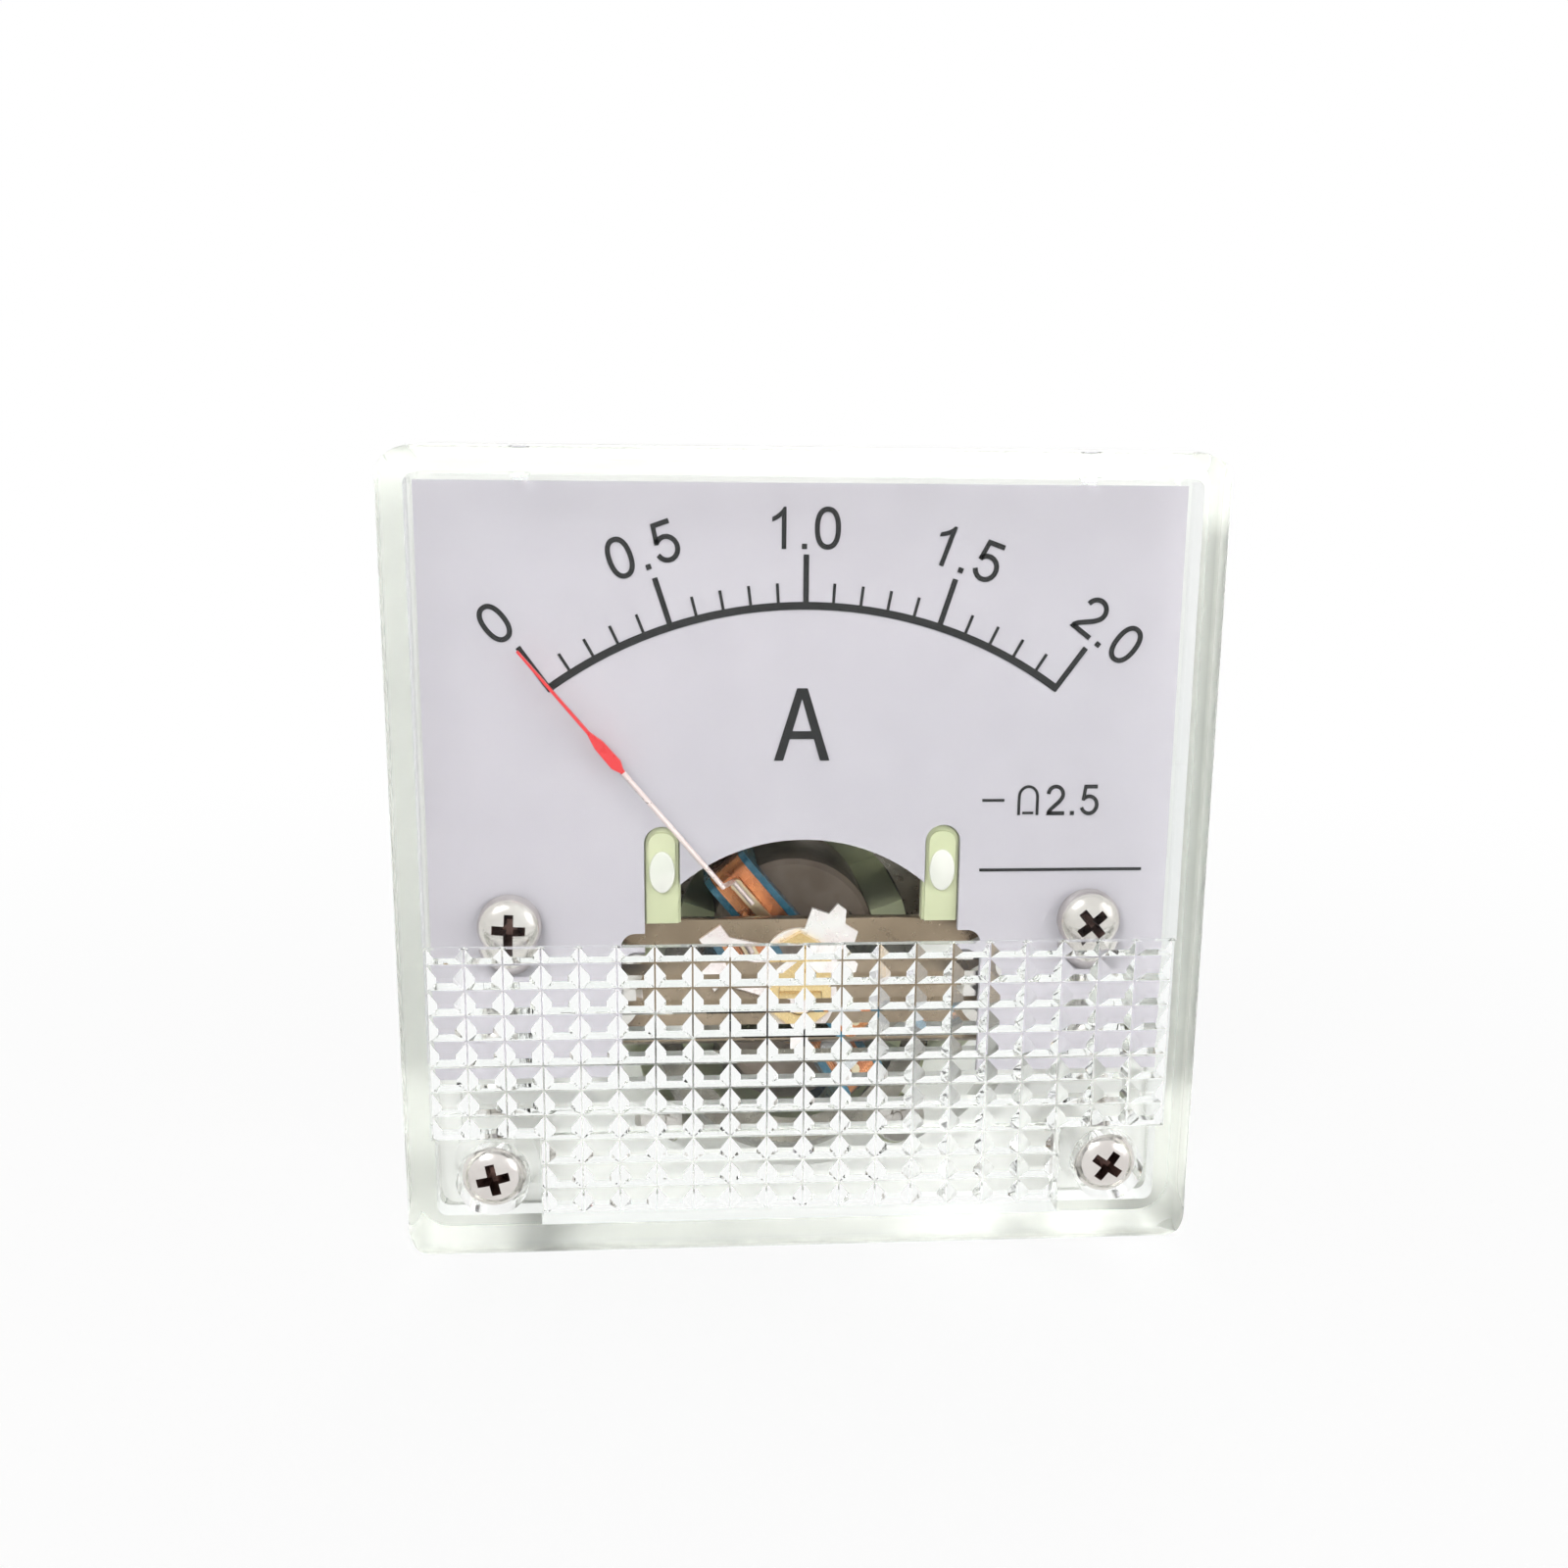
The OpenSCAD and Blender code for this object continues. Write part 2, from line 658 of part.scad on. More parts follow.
module positive_lead() {
    color([0.75, 0.2, 0.15]) {
        wire([lead_start, [lead_x + 1.2, floor_y - 2.2, terminal_z - 1], resistor_a], lead_r);
        wire([resistor_b, [lead_x, 4, -1.5], [-pillar_x - 2.5, 0.6, -4.8],
            [-pillar_x - 2.35, bridge_back_y + lead_r, pivot_z]], lead_r);
    }
}

module swamping_resistor() {
    run = resistor_b - resistor_a;
    along = run / norm(run);
    color([0.75, 0.65, 0.45])
        wire([resistor_a + 0.06 * along + resistor_r * along,
            resistor_b - 0.06 * along - resistor_r * along], resistor_r);
}

module negative_lead() {
    y = frame_back_y + rear_bridge_t + lead_r + 0.02;
    color([0.15, 0.15, 0.17])
        wire([[terminal_pitch / 2 - 1, y, terminal_z - nut_af / 2 - 0.2],
            [rear_screw_x + 2.2, y, 0], [rear_screw_x + 1.4, y, pivot_z]], lead_r);
}

// ---------------------------------------------------------------- fixed movement

module frame_side() {
    span_r = pillar_x - pillar_r + 0.6;
    // web in the air gap, ledge behind the yoke and pillar beside it
    difference() {
        intersection() {
            union() {
                rod(core_y, frame_plate_y + eps, yoke_r - seat_gap);
                rod(yoke_back_y, frame_plate_y + eps, span_r);
            }
            sheet(core_y - 1, frame_plate_y - core_y + 2) polygon([
                [0, 0], [20, 20 * tan(web_half_angle)], [20, -20 * tan(web_half_angle)]]);
        }
        rod(core_y - 1, core_back_y + 0.3, core_r + seat_gap);
        rod(core_back_y, frame_plate_y - eps, coil_in_r - 0.6);
    }
    at(pillar_x, 0) rod(bridge_back_y, frame_back_y, pillar_r);
}

module movement_frame() {
    color([0.82, 0.87, 0.6]) difference() {
        at_pivot() {
            both_sides() frame_side();
            sheet(frame_plate_y, frame_plate_t) {
                circle(yoke_out_r - 1.2);
                square([2 * pillar_x, 2 * pillar_r], center = true);
                round_bar(0, 0, 0, top_ear_r, ear_r);
                for (s = [-1, 1]) {
                    round_bar(0, 0, s * frame_ear_r * sin(ear_angle),
                        frame_ear_r * cos(ear_angle), ear_r);
                    round_bar(0, 0, s * slot_x, post_mid_z, post_bar_r);
                }
            }
            // posts that end in the slots of the dial
            both_sides() sheet(dial_y + 0.15, frame_back_y - dial_y - 0.15)
                translate([slot_x, post_mid_z])
                    rounded_rect(post_w, post_top_z - post_bottom_z, post_w / 2 - 0.1);
        }
        at_pivot() {
            rod(frame_plate_y - 1, frame_back_y + 1, 2.2);
            both_sides() at(pillar_x, 0)
                rod(bridge_back_y - 1, bridge_back_y + bridge_thread + 0.4,
                    thread_d / 2 + seat_gap / 2);
            at(0, top_ear_r) rod(frame_plate_y - 1, frame_back_y + 1, thread_d / 2 + 0.1);
            for (a = [-ear_angle, ear_angle]) turned(a) at(0, frame_ear_r)
                rod(frame_plate_y - 1, frame_back_y + 1, thread_d / 2 + 0.1);
            for (s = [-1, 1]) at(s * rear_screw_x, 0)
                rod(frame_plate_y + 0.2, frame_back_y + 1, rear_screw_r + seat_gap / 2);
        }
    }
}

module movement_screws() {
    color([0.8, 0.8, 0.78]) at_pivot() {
        for (a = [-ear_angle, ear_angle]) turned(a) at(0, frame_ear_r)
            pan_screw(frame_plate_y - head_h, floor_y + 0.8, a);
        at(0, top_ear_r) pan_screw(frame_plate_y - head_h, floor_y + 0.8, 20);
    }
}

module yoke_ring() {
    color([0.25, 0.25, 0.25]) at_pivot() difference() {
        rod(yoke_y, yoke_back_y, yoke_out_r);
        rod(yoke_y - 1, yoke_back_y + 1, yoke_r);
    }
}

module core_magnet() {
    color([0.45, 0.42, 0.38]) at_pivot() {
        rod(core_y, core_y + 0.3, core_r - 0.3, core_r);
        rod(core_y + 0.3, core_back_y, core_r);
    }
}

module front_bridge() {
    color([0.72, 0.58, 0.32]) at_pivot() difference() {
        sheet(bridge_y, bridge_t) round_bar(-pillar_x, 0, pillar_x, 0, bridge_h / 2);
        rod(bridge_y - 1, bridge_back_y + 1, jewel_screw_r + seat_gap / 2);
        both_sides() at(pillar_x, 0) rod(bridge_y - 1, bridge_back_y + 1, thread_d / 2 + 0.1);
    }
}

module front_bridge_screws() {
    color([0.8, 0.8, 0.78]) at_pivot() for (s = [-1, 1]) at(s * pillar_x, 0)
        pan_screw(bridge_y - head_h, bridge_back_y + bridge_thread, 30 * s);
}

// Pins on the back of the bridge that the pointer arm meets past each end
module pointer_stops() {
    color([0.7, 0.7, 0.7]) at_pivot() for (s = [-1, 1]) turned(s * stop_angle)
        at(0, stop_r) rod(bridge_back_y, arm_y + 0.12, stop_pin_r, $fn = 24);
}

module jewel_screw(y0, y1, slot_at_y0) {
    cup = jewel_t + 0.02;
    difference() {
        rod(y0, y1, jewel_screw_r);
        if (slot_at_y0) {
            translate([-2, y0 - 1, -0.2]) cube([4, 1.5, 0.4]);
            rod(y1 - cup, y1 + 1, jewel_r + seat_gap / 2);
        } else {
            translate([-2, y1 - 0.5, -0.2]) cube([4, 1.5, 0.4]);
            rod(y0 - 1, y0 + cup, jewel_r + seat_gap / 2);
        }
    }
}

module front_jewel_screw() {
    color([0.83, 0.68, 0.35]) at_pivot() jewel_screw(bridge_y - 1.1, bridge_back_y + 0.05, true);
}

module front_jewel() {
    y1 = bridge_back_y + 0.05;
    color([0.8, 0.2, 0.35]) at_pivot() difference() {
        rod(y1 - jewel_t, y1, jewel_r);
        rod(y1 - 0.3, y1 + eps, 0.02, pivot_r + 0.02);
    }
}

module front_staff() {
    y0 = bridge_back_y + 0.05 - 0.22;
    color([0.75, 0.75, 0.78]) at_pivot() {
        rod(y0, y0 + 0.5, 0.03, pivot_r);
        rod(y0 + 0.5, coil_y, pivot_r);
        rod(front_spring_y - 0.1, arm_y, hub_r);
    }
}

module front_lock_nut() {
    color([0.83, 0.68, 0.35]) at_pivot() difference() {
        hex(bridge_y - lever_t - lock_nut_h, lock_nut_h, lock_nut_af);
        rod(bridge_y - 2, bridge_y, jewel_screw_r + seat_gap / 2);
    }
}

// Lever under the lock nut that carries the outer end of the front spring
module zero_lever() {
    y0 = bridge_y - lever_t;
    tail_r = bridge_h / 2 + 0.75;
    color([0.9, 0.86, 0.83]) at_pivot() difference() {
        union() {
            sheet(y0, lever_t - 0.02) {
                circle(2.2);
                // right arm with its notched tab
                polygon([[0.2, 1.2], [0.3, 2.2], [0.7, 3.4], [1.7, 3.05], [2.2, 3.65], [2.7, 3.25],
                    [2.65, 2.45], [3.4, 1.95], [3.2, 1.3], [1.6, 0.6]]);
                // left arm with its square tab
                polygon([[0, -0.36], [-4.6, 0.69], [-4.35, 1.75], [0.2, 0.75]]);
                translate([-4.8, 1.4]) rotate(35) square(1.5, center = true);
                round_bar(0, 0, 0, -tail_r, 0.55);
            }
            // tail bent back round the lower edge of the bridge
            at(0, -tail_r) rod(y0, front_spring_y + spring_strip_w, 0.4, $fn = 24);
        }
        rod(y0 - 1, bridge_y + 1, jewel_screw_r + 0.03);
    }
}

module front_hairspring() {
    color([0.75, 0.6, 0.35]) at_pivot() {
        spiral(front_spring_y, hub_r + 0.03, spring_r, spring_turns);
        translate([-0.06, front_spring_y, -bridge_h / 2 - 0.32])
            cube([0.12, spring_strip_w, bridge_h / 2 + 0.34 - spring_r]);
    }
}

module rear_bridge() {
    color([0.72, 0.58, 0.32]) at_pivot() difference() {
        sheet(frame_back_y, rear_bridge_t) round_bar(-rear_screw_x, 0, rear_screw_x, 0, rear_bridge_r);
        rod(frame_back_y - 1, frame_back_y + 2, jewel_screw_r + seat_gap / 2);
        for (s = [-1, 1]) at(s * rear_screw_x, 0)
            rod(frame_back_y - 1, frame_back_y + 2, rear_screw_r + seat_gap);
    }
}

module rear_bridge_screws() {
    y1 = frame_back_y + rear_bridge_t;
    color([0.8, 0.8, 0.78]) at_pivot() for (s = [-1, 1]) at(s * rear_screw_x, 0) {
        rod(frame_plate_y + 0.3, y1, rear_screw_r);
        difference() {
            rod(y1, y1 + 0.4, rear_screw_r + 0.43);
            translate([-2, y1 + 0.2, -0.12]) cube([4, 1, 0.24]);
        }
    }
}

module rear_jewel_screw() {
    color([0.83, 0.68, 0.35]) at_pivot()
        jewel_screw(coil_back_y + 1.2, frame_back_y + rear_bridge_t + 0.9, false);
}

module rear_lock_nut() {
    color([0.83, 0.68, 0.35]) at_pivot() difference() {
        hex(frame_back_y + rear_bridge_t, lock_nut_h, lock_nut_af);
        rod(frame_back_y, frame_back_y + 3, jewel_screw_r + seat_gap / 2);
    }
}

module rear_jewel() {
    y0 = coil_back_y + 1.2;
    color([0.8, 0.2, 0.35]) at_pivot() difference() {
        rod(y0, y0 + jewel_t, jewel_r);
        rod(y0 - eps, y0 + 0.3, pivot_r + 0.02, 0.02);
    }
}

module rear_staff() {
    y1 = coil_back_y + 1.2 + 0.22;
    color([0.75, 0.75, 0.78]) at_pivot() {
        rod(y1 - 0.5, y1, pivot_r, 0.03);
        rod(coil_back_y, y1 - 0.5, pivot_r);
        rod(coil_back_y, rear_spring_y + spring_strip_w + 0.1, hub_r);
    }
}

module rear_spring_anchor() {
    color([0.72, 0.58, 0.32]) at_pivot()
        at(0, -spring_r - 0.75) rod(rear_spring_y, frame_plate_y, 0.4, $fn = 24);
}

module rear_hairspring() {
    color([0.75, 0.6, 0.35]) at_pivot() {
        spiral(rear_spring_y, hub_r + 0.03, spring_r, spring_turns);
        translate([-0.06, rear_spring_y, -spring_r - 0.32])
            cube([0.12, spring_strip_w, 0.34]);
    }
}

// ---------------------------------------------------------------- moving element

// Loop round the core, w wide, between an inner and an outer rectangle
module coil_loop(w, inner_t, outer_t) {
    mid_y = (coil_y + coil_back_y) / 2;
    long = coil_back_y - coil_y - 2 * coil_t;
    translate([-w / 2, mid_y, 0]) rotate([90, 0, 90]) linear_extrude(w) difference() {
        rounded_rect(long + 2 * outer_t, 2 * (coil_in_r + outer_t), 0.8);
        rounded_rect(long + 2 * inner_t, 2 * (coil_in_r + inner_t), 0.5);
    }
}

module coil_former() {
    color([0.25, 0.5, 0.6]) swung() {
        coil_loop(coil_w, 0, former_web_t);
        for (s = [-1, 1]) translate([s * (coil_w - former_flange_t) / 2, 0, 0])
            coil_loop(former_flange_t, former_web_t - eps, coil_t);
    }
}

module coil_winding() {
    color([0.75, 0.4, 0.25]) swung()
        coil_loop(coil_w - 2 * former_flange_t - 0.02, former_web_t + 0.01, coil_t - 0.05);
}

module pointer_arm() {
    color([0.8, 0.72, 0.55]) swung() difference() {
        sheet(arm_y, arm_t) {
            circle(1.1);
            round_bar(0, 0, 0, crank_in_r - arm_half_w, arm_half_w);
            round_bar(-side_arm_r, 0, side_arm_r, 0, cross_half_w);
            round_bar(0, 0, 0, -tail_weight_out_r - 0.2, cross_half_w);
        }
        rod(arm_y - 1, coil_y + 1, pivot_r + 0.02);
    }
}

// Tube from the arm out through the dial window, cranked forward, to the tip
module pointer() {
    lozenge_in = 15.7;
    lozenge_out = 18.5;
    root_y = arm_y - pointer_d / 2;
    color([0.85, 0.25, 0.25]) swung() {
        wire([[0, root_y, crank_in_r - 1.8], [0, root_y, crank_in_r], [0, pointer_y, crank_out_r],
            [0, pointer_y, lozenge_in + 0.2]], pointer_d / 2);
        sheet(pointer_y - pointer_d / 2, pointer_d) {
            polygon([[-0.12, lozenge_in], [-0.33, lozenge_in + 0.5], [-0.3, lozenge_out - 0.9],
                [-0.09, lozenge_out], [-0.06, pointer_length], [0.06, pointer_length],
                [0.09, lozenge_out], [0.3, lozenge_out - 0.9], [0.33, lozenge_in + 0.5],
                [0.12, lozenge_in]]);
        }
    }
}

// Solder weights on the two side arms and, heavier, on the tail of the arm
module balance_weights() {
    room = cross_half_w + seat_gap;
    color([0.7, 0.7, 0.72]) swung() difference() {
        union() {
            for (x = [-side_arm_r, side_arm_r]) at(x, 0) rod(weight_front_y, coil_y - 0.02, 0.6);
            sheet(weight_front_y, coil_y - 0.02 - weight_front_y)
                translate([0, -(tail_weight_in_r + tail_weight_out_r) / 2])
                    rounded_rect(1.5, tail_weight_out_r - tail_weight_in_r, 0.4);
        }
        sheet(arm_y - 0.02, arm_t + 1) {
            round_bar(-side_arm_r - 1, 0, side_arm_r + 1, 0, room);
            round_bar(0, 0, 0, -tail_weight_out_r - 1, room);
        }
    }
}

cover();
base();
dial_plate();
dial_scale();
dial_screws();
cover_screws();
mounting_studs();
terminal_studs();
terminal_fixing_nuts();
terminal_washers();
solder_lugs();
terminal_nuts();
shunt();
positive_lead();
swamping_resistor();
negative_lead();
movement_frame();
movement_screws();
yoke_ring();
core_magnet();
front_bridge();
front_bridge_screws();
pointer_stops();
zero_lever();
front_jewel_screw();
front_lock_nut();
front_jewel();
front_hairspring();
rear_bridge();
rear_bridge_screws();
rear_jewel_screw();
rear_lock_nut();
rear_jewel();
rear_spring_anchor();
rear_hairspring();
coil_former();
coil_winding();
front_staff();
rear_staff();
pointer_arm();
pointer();
balance_weights();
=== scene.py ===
# %% [markdown]
# # A square moving-coil panel meter
# The part is a 45 mm ammeter with a clear front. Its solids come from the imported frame, in
# metres. This lesson gives them their finishes, and makes what the solids leave plain: screw
# heads, threads, the bridge's bevel, fuller posts in the dial's slots and the printed numbers.

# %% Open the frame
import json
import math

import bmesh
import bpy
from mathutils import Matrix, Vector


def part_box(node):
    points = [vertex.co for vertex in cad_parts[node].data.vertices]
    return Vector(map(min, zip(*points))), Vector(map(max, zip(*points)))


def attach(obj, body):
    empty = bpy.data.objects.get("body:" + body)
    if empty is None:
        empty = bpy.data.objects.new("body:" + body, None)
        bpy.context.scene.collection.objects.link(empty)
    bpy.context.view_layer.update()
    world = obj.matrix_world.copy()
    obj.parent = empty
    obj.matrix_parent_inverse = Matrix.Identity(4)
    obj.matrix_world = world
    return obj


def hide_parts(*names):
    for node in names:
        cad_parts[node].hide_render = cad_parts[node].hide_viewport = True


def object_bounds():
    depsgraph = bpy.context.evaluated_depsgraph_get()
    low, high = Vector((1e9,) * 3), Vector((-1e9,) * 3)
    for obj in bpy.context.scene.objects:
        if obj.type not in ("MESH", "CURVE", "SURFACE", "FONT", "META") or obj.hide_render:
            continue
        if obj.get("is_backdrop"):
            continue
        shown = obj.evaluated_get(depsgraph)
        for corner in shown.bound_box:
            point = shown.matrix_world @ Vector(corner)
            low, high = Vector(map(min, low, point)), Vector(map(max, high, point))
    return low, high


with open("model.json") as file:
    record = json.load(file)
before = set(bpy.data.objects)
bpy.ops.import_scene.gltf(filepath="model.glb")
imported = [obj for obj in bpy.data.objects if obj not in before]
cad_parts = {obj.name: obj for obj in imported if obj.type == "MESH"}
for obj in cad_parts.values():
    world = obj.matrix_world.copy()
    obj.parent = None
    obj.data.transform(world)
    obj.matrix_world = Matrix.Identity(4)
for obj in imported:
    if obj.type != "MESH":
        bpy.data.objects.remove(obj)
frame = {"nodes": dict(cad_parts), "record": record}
cad_low, cad_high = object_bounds()
MM = 0.001
MERGE_WITHIN = 0.001 * MM
print("frame box", [round(v / MM, 2) for v in (*cad_low, *cad_high)])

# %% [markdown]
# ## Camera
# The meter is looked at from a little above and to its left. A rotation in angles could aim the
# camera, but one built from three axes keeps the small roll apart from the aim. The lens shift
# then places the meter in the frame without turning it.

# %% Camera
AZIMUTH, ELEVATION, ROLL = -4.89, 14.0, 0.65
DISTANCE = 97.9 * MM
LENS, SENSOR_WIDTH = 41.14, 36
SHIFT_X, SHIFT_Y = -0.0154, 0.0558
NEAR_CLIP = 5 * MM
FACE_CENTRE = Vector((0, cad_low.y, 0))


def aim_camera(azimuth, elevation, roll, distance):
    """The place and turn of a camera that faces the meter from these angles in degrees."""
    a, e, r = (math.radians(v) for v in (azimuth, elevation, roll))
    back = Vector((math.sin(a) * math.cos(e), -math.cos(a) * math.cos(e), math.sin(e)))
    level = Vector((math.cos(a), math.sin(a), 0))
    up = back.cross(level)
    right = math.cos(r) * level + math.sin(r) * up
    up = back.cross(right)
    turn = Matrix((right, up, back)).transposed().to_4x4()
    return Matrix.Translation(FACE_CENTRE + back * distance) @ turn


camera = bpy.data.objects.new("camera", bpy.data.cameras.new("camera"))
bpy.context.collection.objects.link(camera)
camera.matrix_world = aim_camera(AZIMUTH, ELEVATION, ROLL, DISTANCE)
camera.data.lens = LENS
camera.data.sensor_width = SENSOR_WIDTH
camera.data.shift_x = SHIFT_X
camera.data.shift_y = SHIFT_Y
camera.data.clip_start = NEAR_CLIP
bpy.context.scene.camera = camera
print("camera at", [round(v / MM, 1) for v in camera.matrix_world.translation])

# %% [markdown]
# ## Light and floor
# Clear plastic shows whatever stands round it. A panorama could light the meter, but a plain
# white room keeps stray shapes out of the window. The world is white wherever a camera, mirror or
# glass ray looks, and about half as bright for the light that falls on matt surfaces. Three broad
# lamps add direction. The floor glows like the world, and takes a faint shadow near the meter.

# %% World
LIT_LEVEL, SEEN_LEVEL = 0.51, 1.0
scene = bpy.context.scene
scene.view_settings.view_transform = "Standard"
world = bpy.data.worlds.new("white_room")
scene.world = world
world.use_nodes = True


def link(tree, source, target):
    tree.links.new(source, target)


def seen_directly(tree):
    """1 for rays from the camera, a gloss or a clear body, else 0."""
    path = tree.nodes.new("ShaderNodeLightPath")
    total = path.outputs["Is Camera Ray"]
    for ray in ("Is Glossy Ray", "Is Transmission Ray"):
        add = tree.nodes.new("ShaderNodeMath")
        add.operation = "MAXIMUM"
        link(tree, total, add.inputs[0])
        link(tree, path.outputs[ray], add.inputs[1])
        total = add.outputs[0]
    return total


tree = world.node_tree
tree.nodes.clear()
sky_out = tree.nodes.new("ShaderNodeOutputWorld")
sky_mix = tree.nodes.new("ShaderNodeMixShader")
for level, side in ((LIT_LEVEL, 1), (SEEN_LEVEL, 2)):
    sky = tree.nodes.new("ShaderNodeBackground")
    sky.inputs["Color"].default_value = (1, 1, 1, 1)
    sky.inputs["Strength"].default_value = level
    link(tree, sky.outputs[0], sky_mix.inputs[side])
link(tree, seen_directly(tree), sky_mix.inputs["Fac"])
link(tree, sky_mix.outputs[0], sky_out.inputs["Surface"])
world.cycles.sampling_method = "NONE"
print("world", world.name, "lit", LIT_LEVEL, "seen", SEEN_LEVEL)

# %% Lamps


def soft_lamp(name, place, size, power):
    """A round lamp, size metres across, that faces the meter from its place."""
    lamp = bpy.data.lights.new(name, "AREA")
    lamp.shape = "DISK"
    lamp.size = size
    lamp.energy = power
    lamp.cycles.use_multiple_importance_sampling = False
    holder = bpy.data.objects.new(name, lamp)
    holder.location = place
    holder.rotation_euler = (-Vector(place)).to_track_quat("-Z", "Y").to_euler()
    bpy.context.collection.objects.link(holder)


soft_lamp("key_lamp", (-0.28, -0.50, 0.42), 0.30, 1.4)
soft_lamp("fill_lamp", (0.45, -0.40, 0.15), 0.35, 0.7)
soft_lamp("back_lamp", (0.15, 0.55, 0.35), 0.30, 0.7)

# %% Light paths
# A ray crosses many walls in the prisms of the cover, so it may turn often before it is dropped.
scene.cycles.max_bounces = 24
scene.cycles.transmission_bounces = 24
scene.cycles.glossy_bounces = 8
scene.cycles.diffuse_bounces = 3
scene.cycles.caustics_reflective = False
scene.cycles.caustics_refractive = True
scene.cycles.use_denoising = True
print("bounces", scene.cycles.max_bounces)

# %% Floor
FLOOR_HALF, FLOOR_SET_BACK = 0.9, 0.2
FLOOR_Z = cad_low.z - 0.05 * MM
floor_mesh = bpy.data.meshes.new("floor")
bm = bmesh.new()
bmesh.ops.create_grid(bm, x_segments=4, y_segments=4, size=FLOOR_HALF,
                      matrix=Matrix.Translation((0, FLOOR_SET_BACK, FLOOR_Z)))
bm.to_mesh(floor_mesh)
bm.free()
floor = bpy.data.objects.new("floor", floor_mesh)
bpy.context.collection.objects.link(floor)
floor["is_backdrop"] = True
print("floor at", round(FLOOR_Z / MM, 2), "mm")

# %% Floor paint
# The share of glow grows with the distance from the meter, between the two distances in metres,
# so the shadow fades into the white.
FLOOR_GREY = 0.96
SHADOW_NEAR, SHADOW_FAR = 0.03, 0.16
GLOW_NEAR, GLOW_FAR = 0.88, 1.0
floor_paint = bpy.data.materials.new("floor_paint")
floor_paint.use_nodes = True
tree = floor_paint.node_tree
tree.nodes.clear()
paint = tree.nodes.new("ShaderNodeBsdfDiffuse")
paint.inputs["Color"].default_value = (FLOOR_GREY, FLOOR_GREY, FLOOR_GREY, 1)
glow = tree.nodes.new("ShaderNodeEmission")
blend = tree.nodes.new("ShaderNodeMixShader")
share = tree.nodes.new("ShaderNodeMath")
share.operation = "MULTIPLY"
spot = tree.nodes.new("ShaderNodeTexCoord")
reach = tree.nodes.new("ShaderNodeVectorMath")
reach.operation = "LENGTH"
fade = tree.nodes.new("ShaderNodeMapRange")
fade.interpolation_type = "SMOOTHSTEP"
for label, value in (("From Min", SHADOW_NEAR), ("From Max", SHADOW_FAR),
                     ("To Min", GLOW_NEAR), ("To Max", GLOW_FAR)):
    fade.inputs[label].default_value = value
surface = tree.nodes.new("ShaderNodeOutputMaterial")
link(tree, spot.outputs["Object"], reach.inputs[0])
link(tree, reach.outputs["Value"], fade.inputs["Value"])
link(tree, fade.outputs["Result"], share.inputs[1])
link(tree, seen_directly(tree), share.inputs[0])
link(tree, share.outputs[0], blend.inputs["Fac"])
link(tree, paint.outputs[0], blend.inputs[1])
link(tree, glow.outputs[0], blend.inputs[2])
link(tree, blend.outputs[0], surface.inputs["Surface"])
floor_mesh.materials.append(floor_paint)
print("floor paint glows from", GLOW_NEAR, "to", GLOW_FAR)

# %% [markdown]
# ## Signals for the finishes
# No moulded or machined surface is quite even. Painted maps could show that, but noise needs no
# unwrapping and stays sharp close up. One node group makes two signals: a broad cloud, which
# drifts the colour, and a fine grain, which moves the roughness and the relief. Each material
# gives it its own scales. Two more groups draw close parallel lines, one for turned metal and one
# for the wire of the coil, which stands turned with the pointer at rest.

# %% Shared node groups
REST_TURN = math.radians(40)


def new_group(name, inputs, outputs):
    """A node group with named number sockets, and its input and output nodes."""
    group = bpy.data.node_groups.new(name, "ShaderNodeTree")
    for label, value in inputs:
        socket = group.interface.new_socket(label, in_out="INPUT", socket_type="NodeSocketFloat")
        socket.default_value = value
    for label in outputs:
        group.interface.new_socket(label, in_out="OUTPUT", socket_type="NodeSocketFloat")
    return group, group.nodes.new("NodeGroupInput"), group.nodes.new("NodeGroupOutput")


grain, given, result = new_group(
    "surface_grain", [("Cloud Scale", 120), ("Grain Scale", 1500)], ["Cloud", "Grain"])
place = grain.nodes.new("ShaderNodeTexCoord")
for label, detail, low, high in (("Cloud", 3, 0.35, 0.65), ("Grain", 2, 0.3, 0.7)):
    noise = grain.nodes.new("ShaderNodeTexNoise")
    noise.inputs["Detail"].default_value = detail
    spread = grain.nodes.new("ShaderNodeMapRange")
    spread.inputs["From Min"].default_value = low
    spread.inputs["From Max"].default_value = high
    link(grain, place.outputs["Object"], noise.inputs["Vector"])
    link(grain, given.outputs[label + " Scale"], noise.inputs["Scale"])
    link(grain, noise.outputs["Fac"], spread.inputs["Value"])
    link(grain, spread.outputs["Result"], result.inputs[label])


def line_group(name, direction, distortion, turn=0.0):
    """Close bands that follow one another along an axis of the piece, turned about Y."""
    group, given, result = new_group(name, [("Line Scale", 3000)], ["Lines"])
    place = group.nodes.new("ShaderNodeTexCoord").outputs["Object"]
    if turn:
        lean = group.nodes.new("ShaderNodeVectorRotate")
        lean.rotation_type = "Y_AXIS"
        lean.inputs["Angle"].default_value = turn
        link(group, place, lean.inputs["Vector"])
        place = lean.outputs["Vector"]
    bands = group.nodes.new("ShaderNodeTexWave")
    bands.wave_type = "BANDS"
    bands.bands_direction = direction
    bands.inputs["Distortion"].default_value = distortion
    link(group, place, bands.inputs["Vector"])
    link(group, given.outputs["Line Scale"], bands.inputs["Scale"])
    link(group, bands.outputs["Fac"], result.inputs["Lines"])
    return group


turned = line_group("turning_lines", "Y", 3)
wound = line_group("wound_lines", "X", 0.6, REST_TURN)
print("groups", [g.name for g in bpy.data.node_groups])

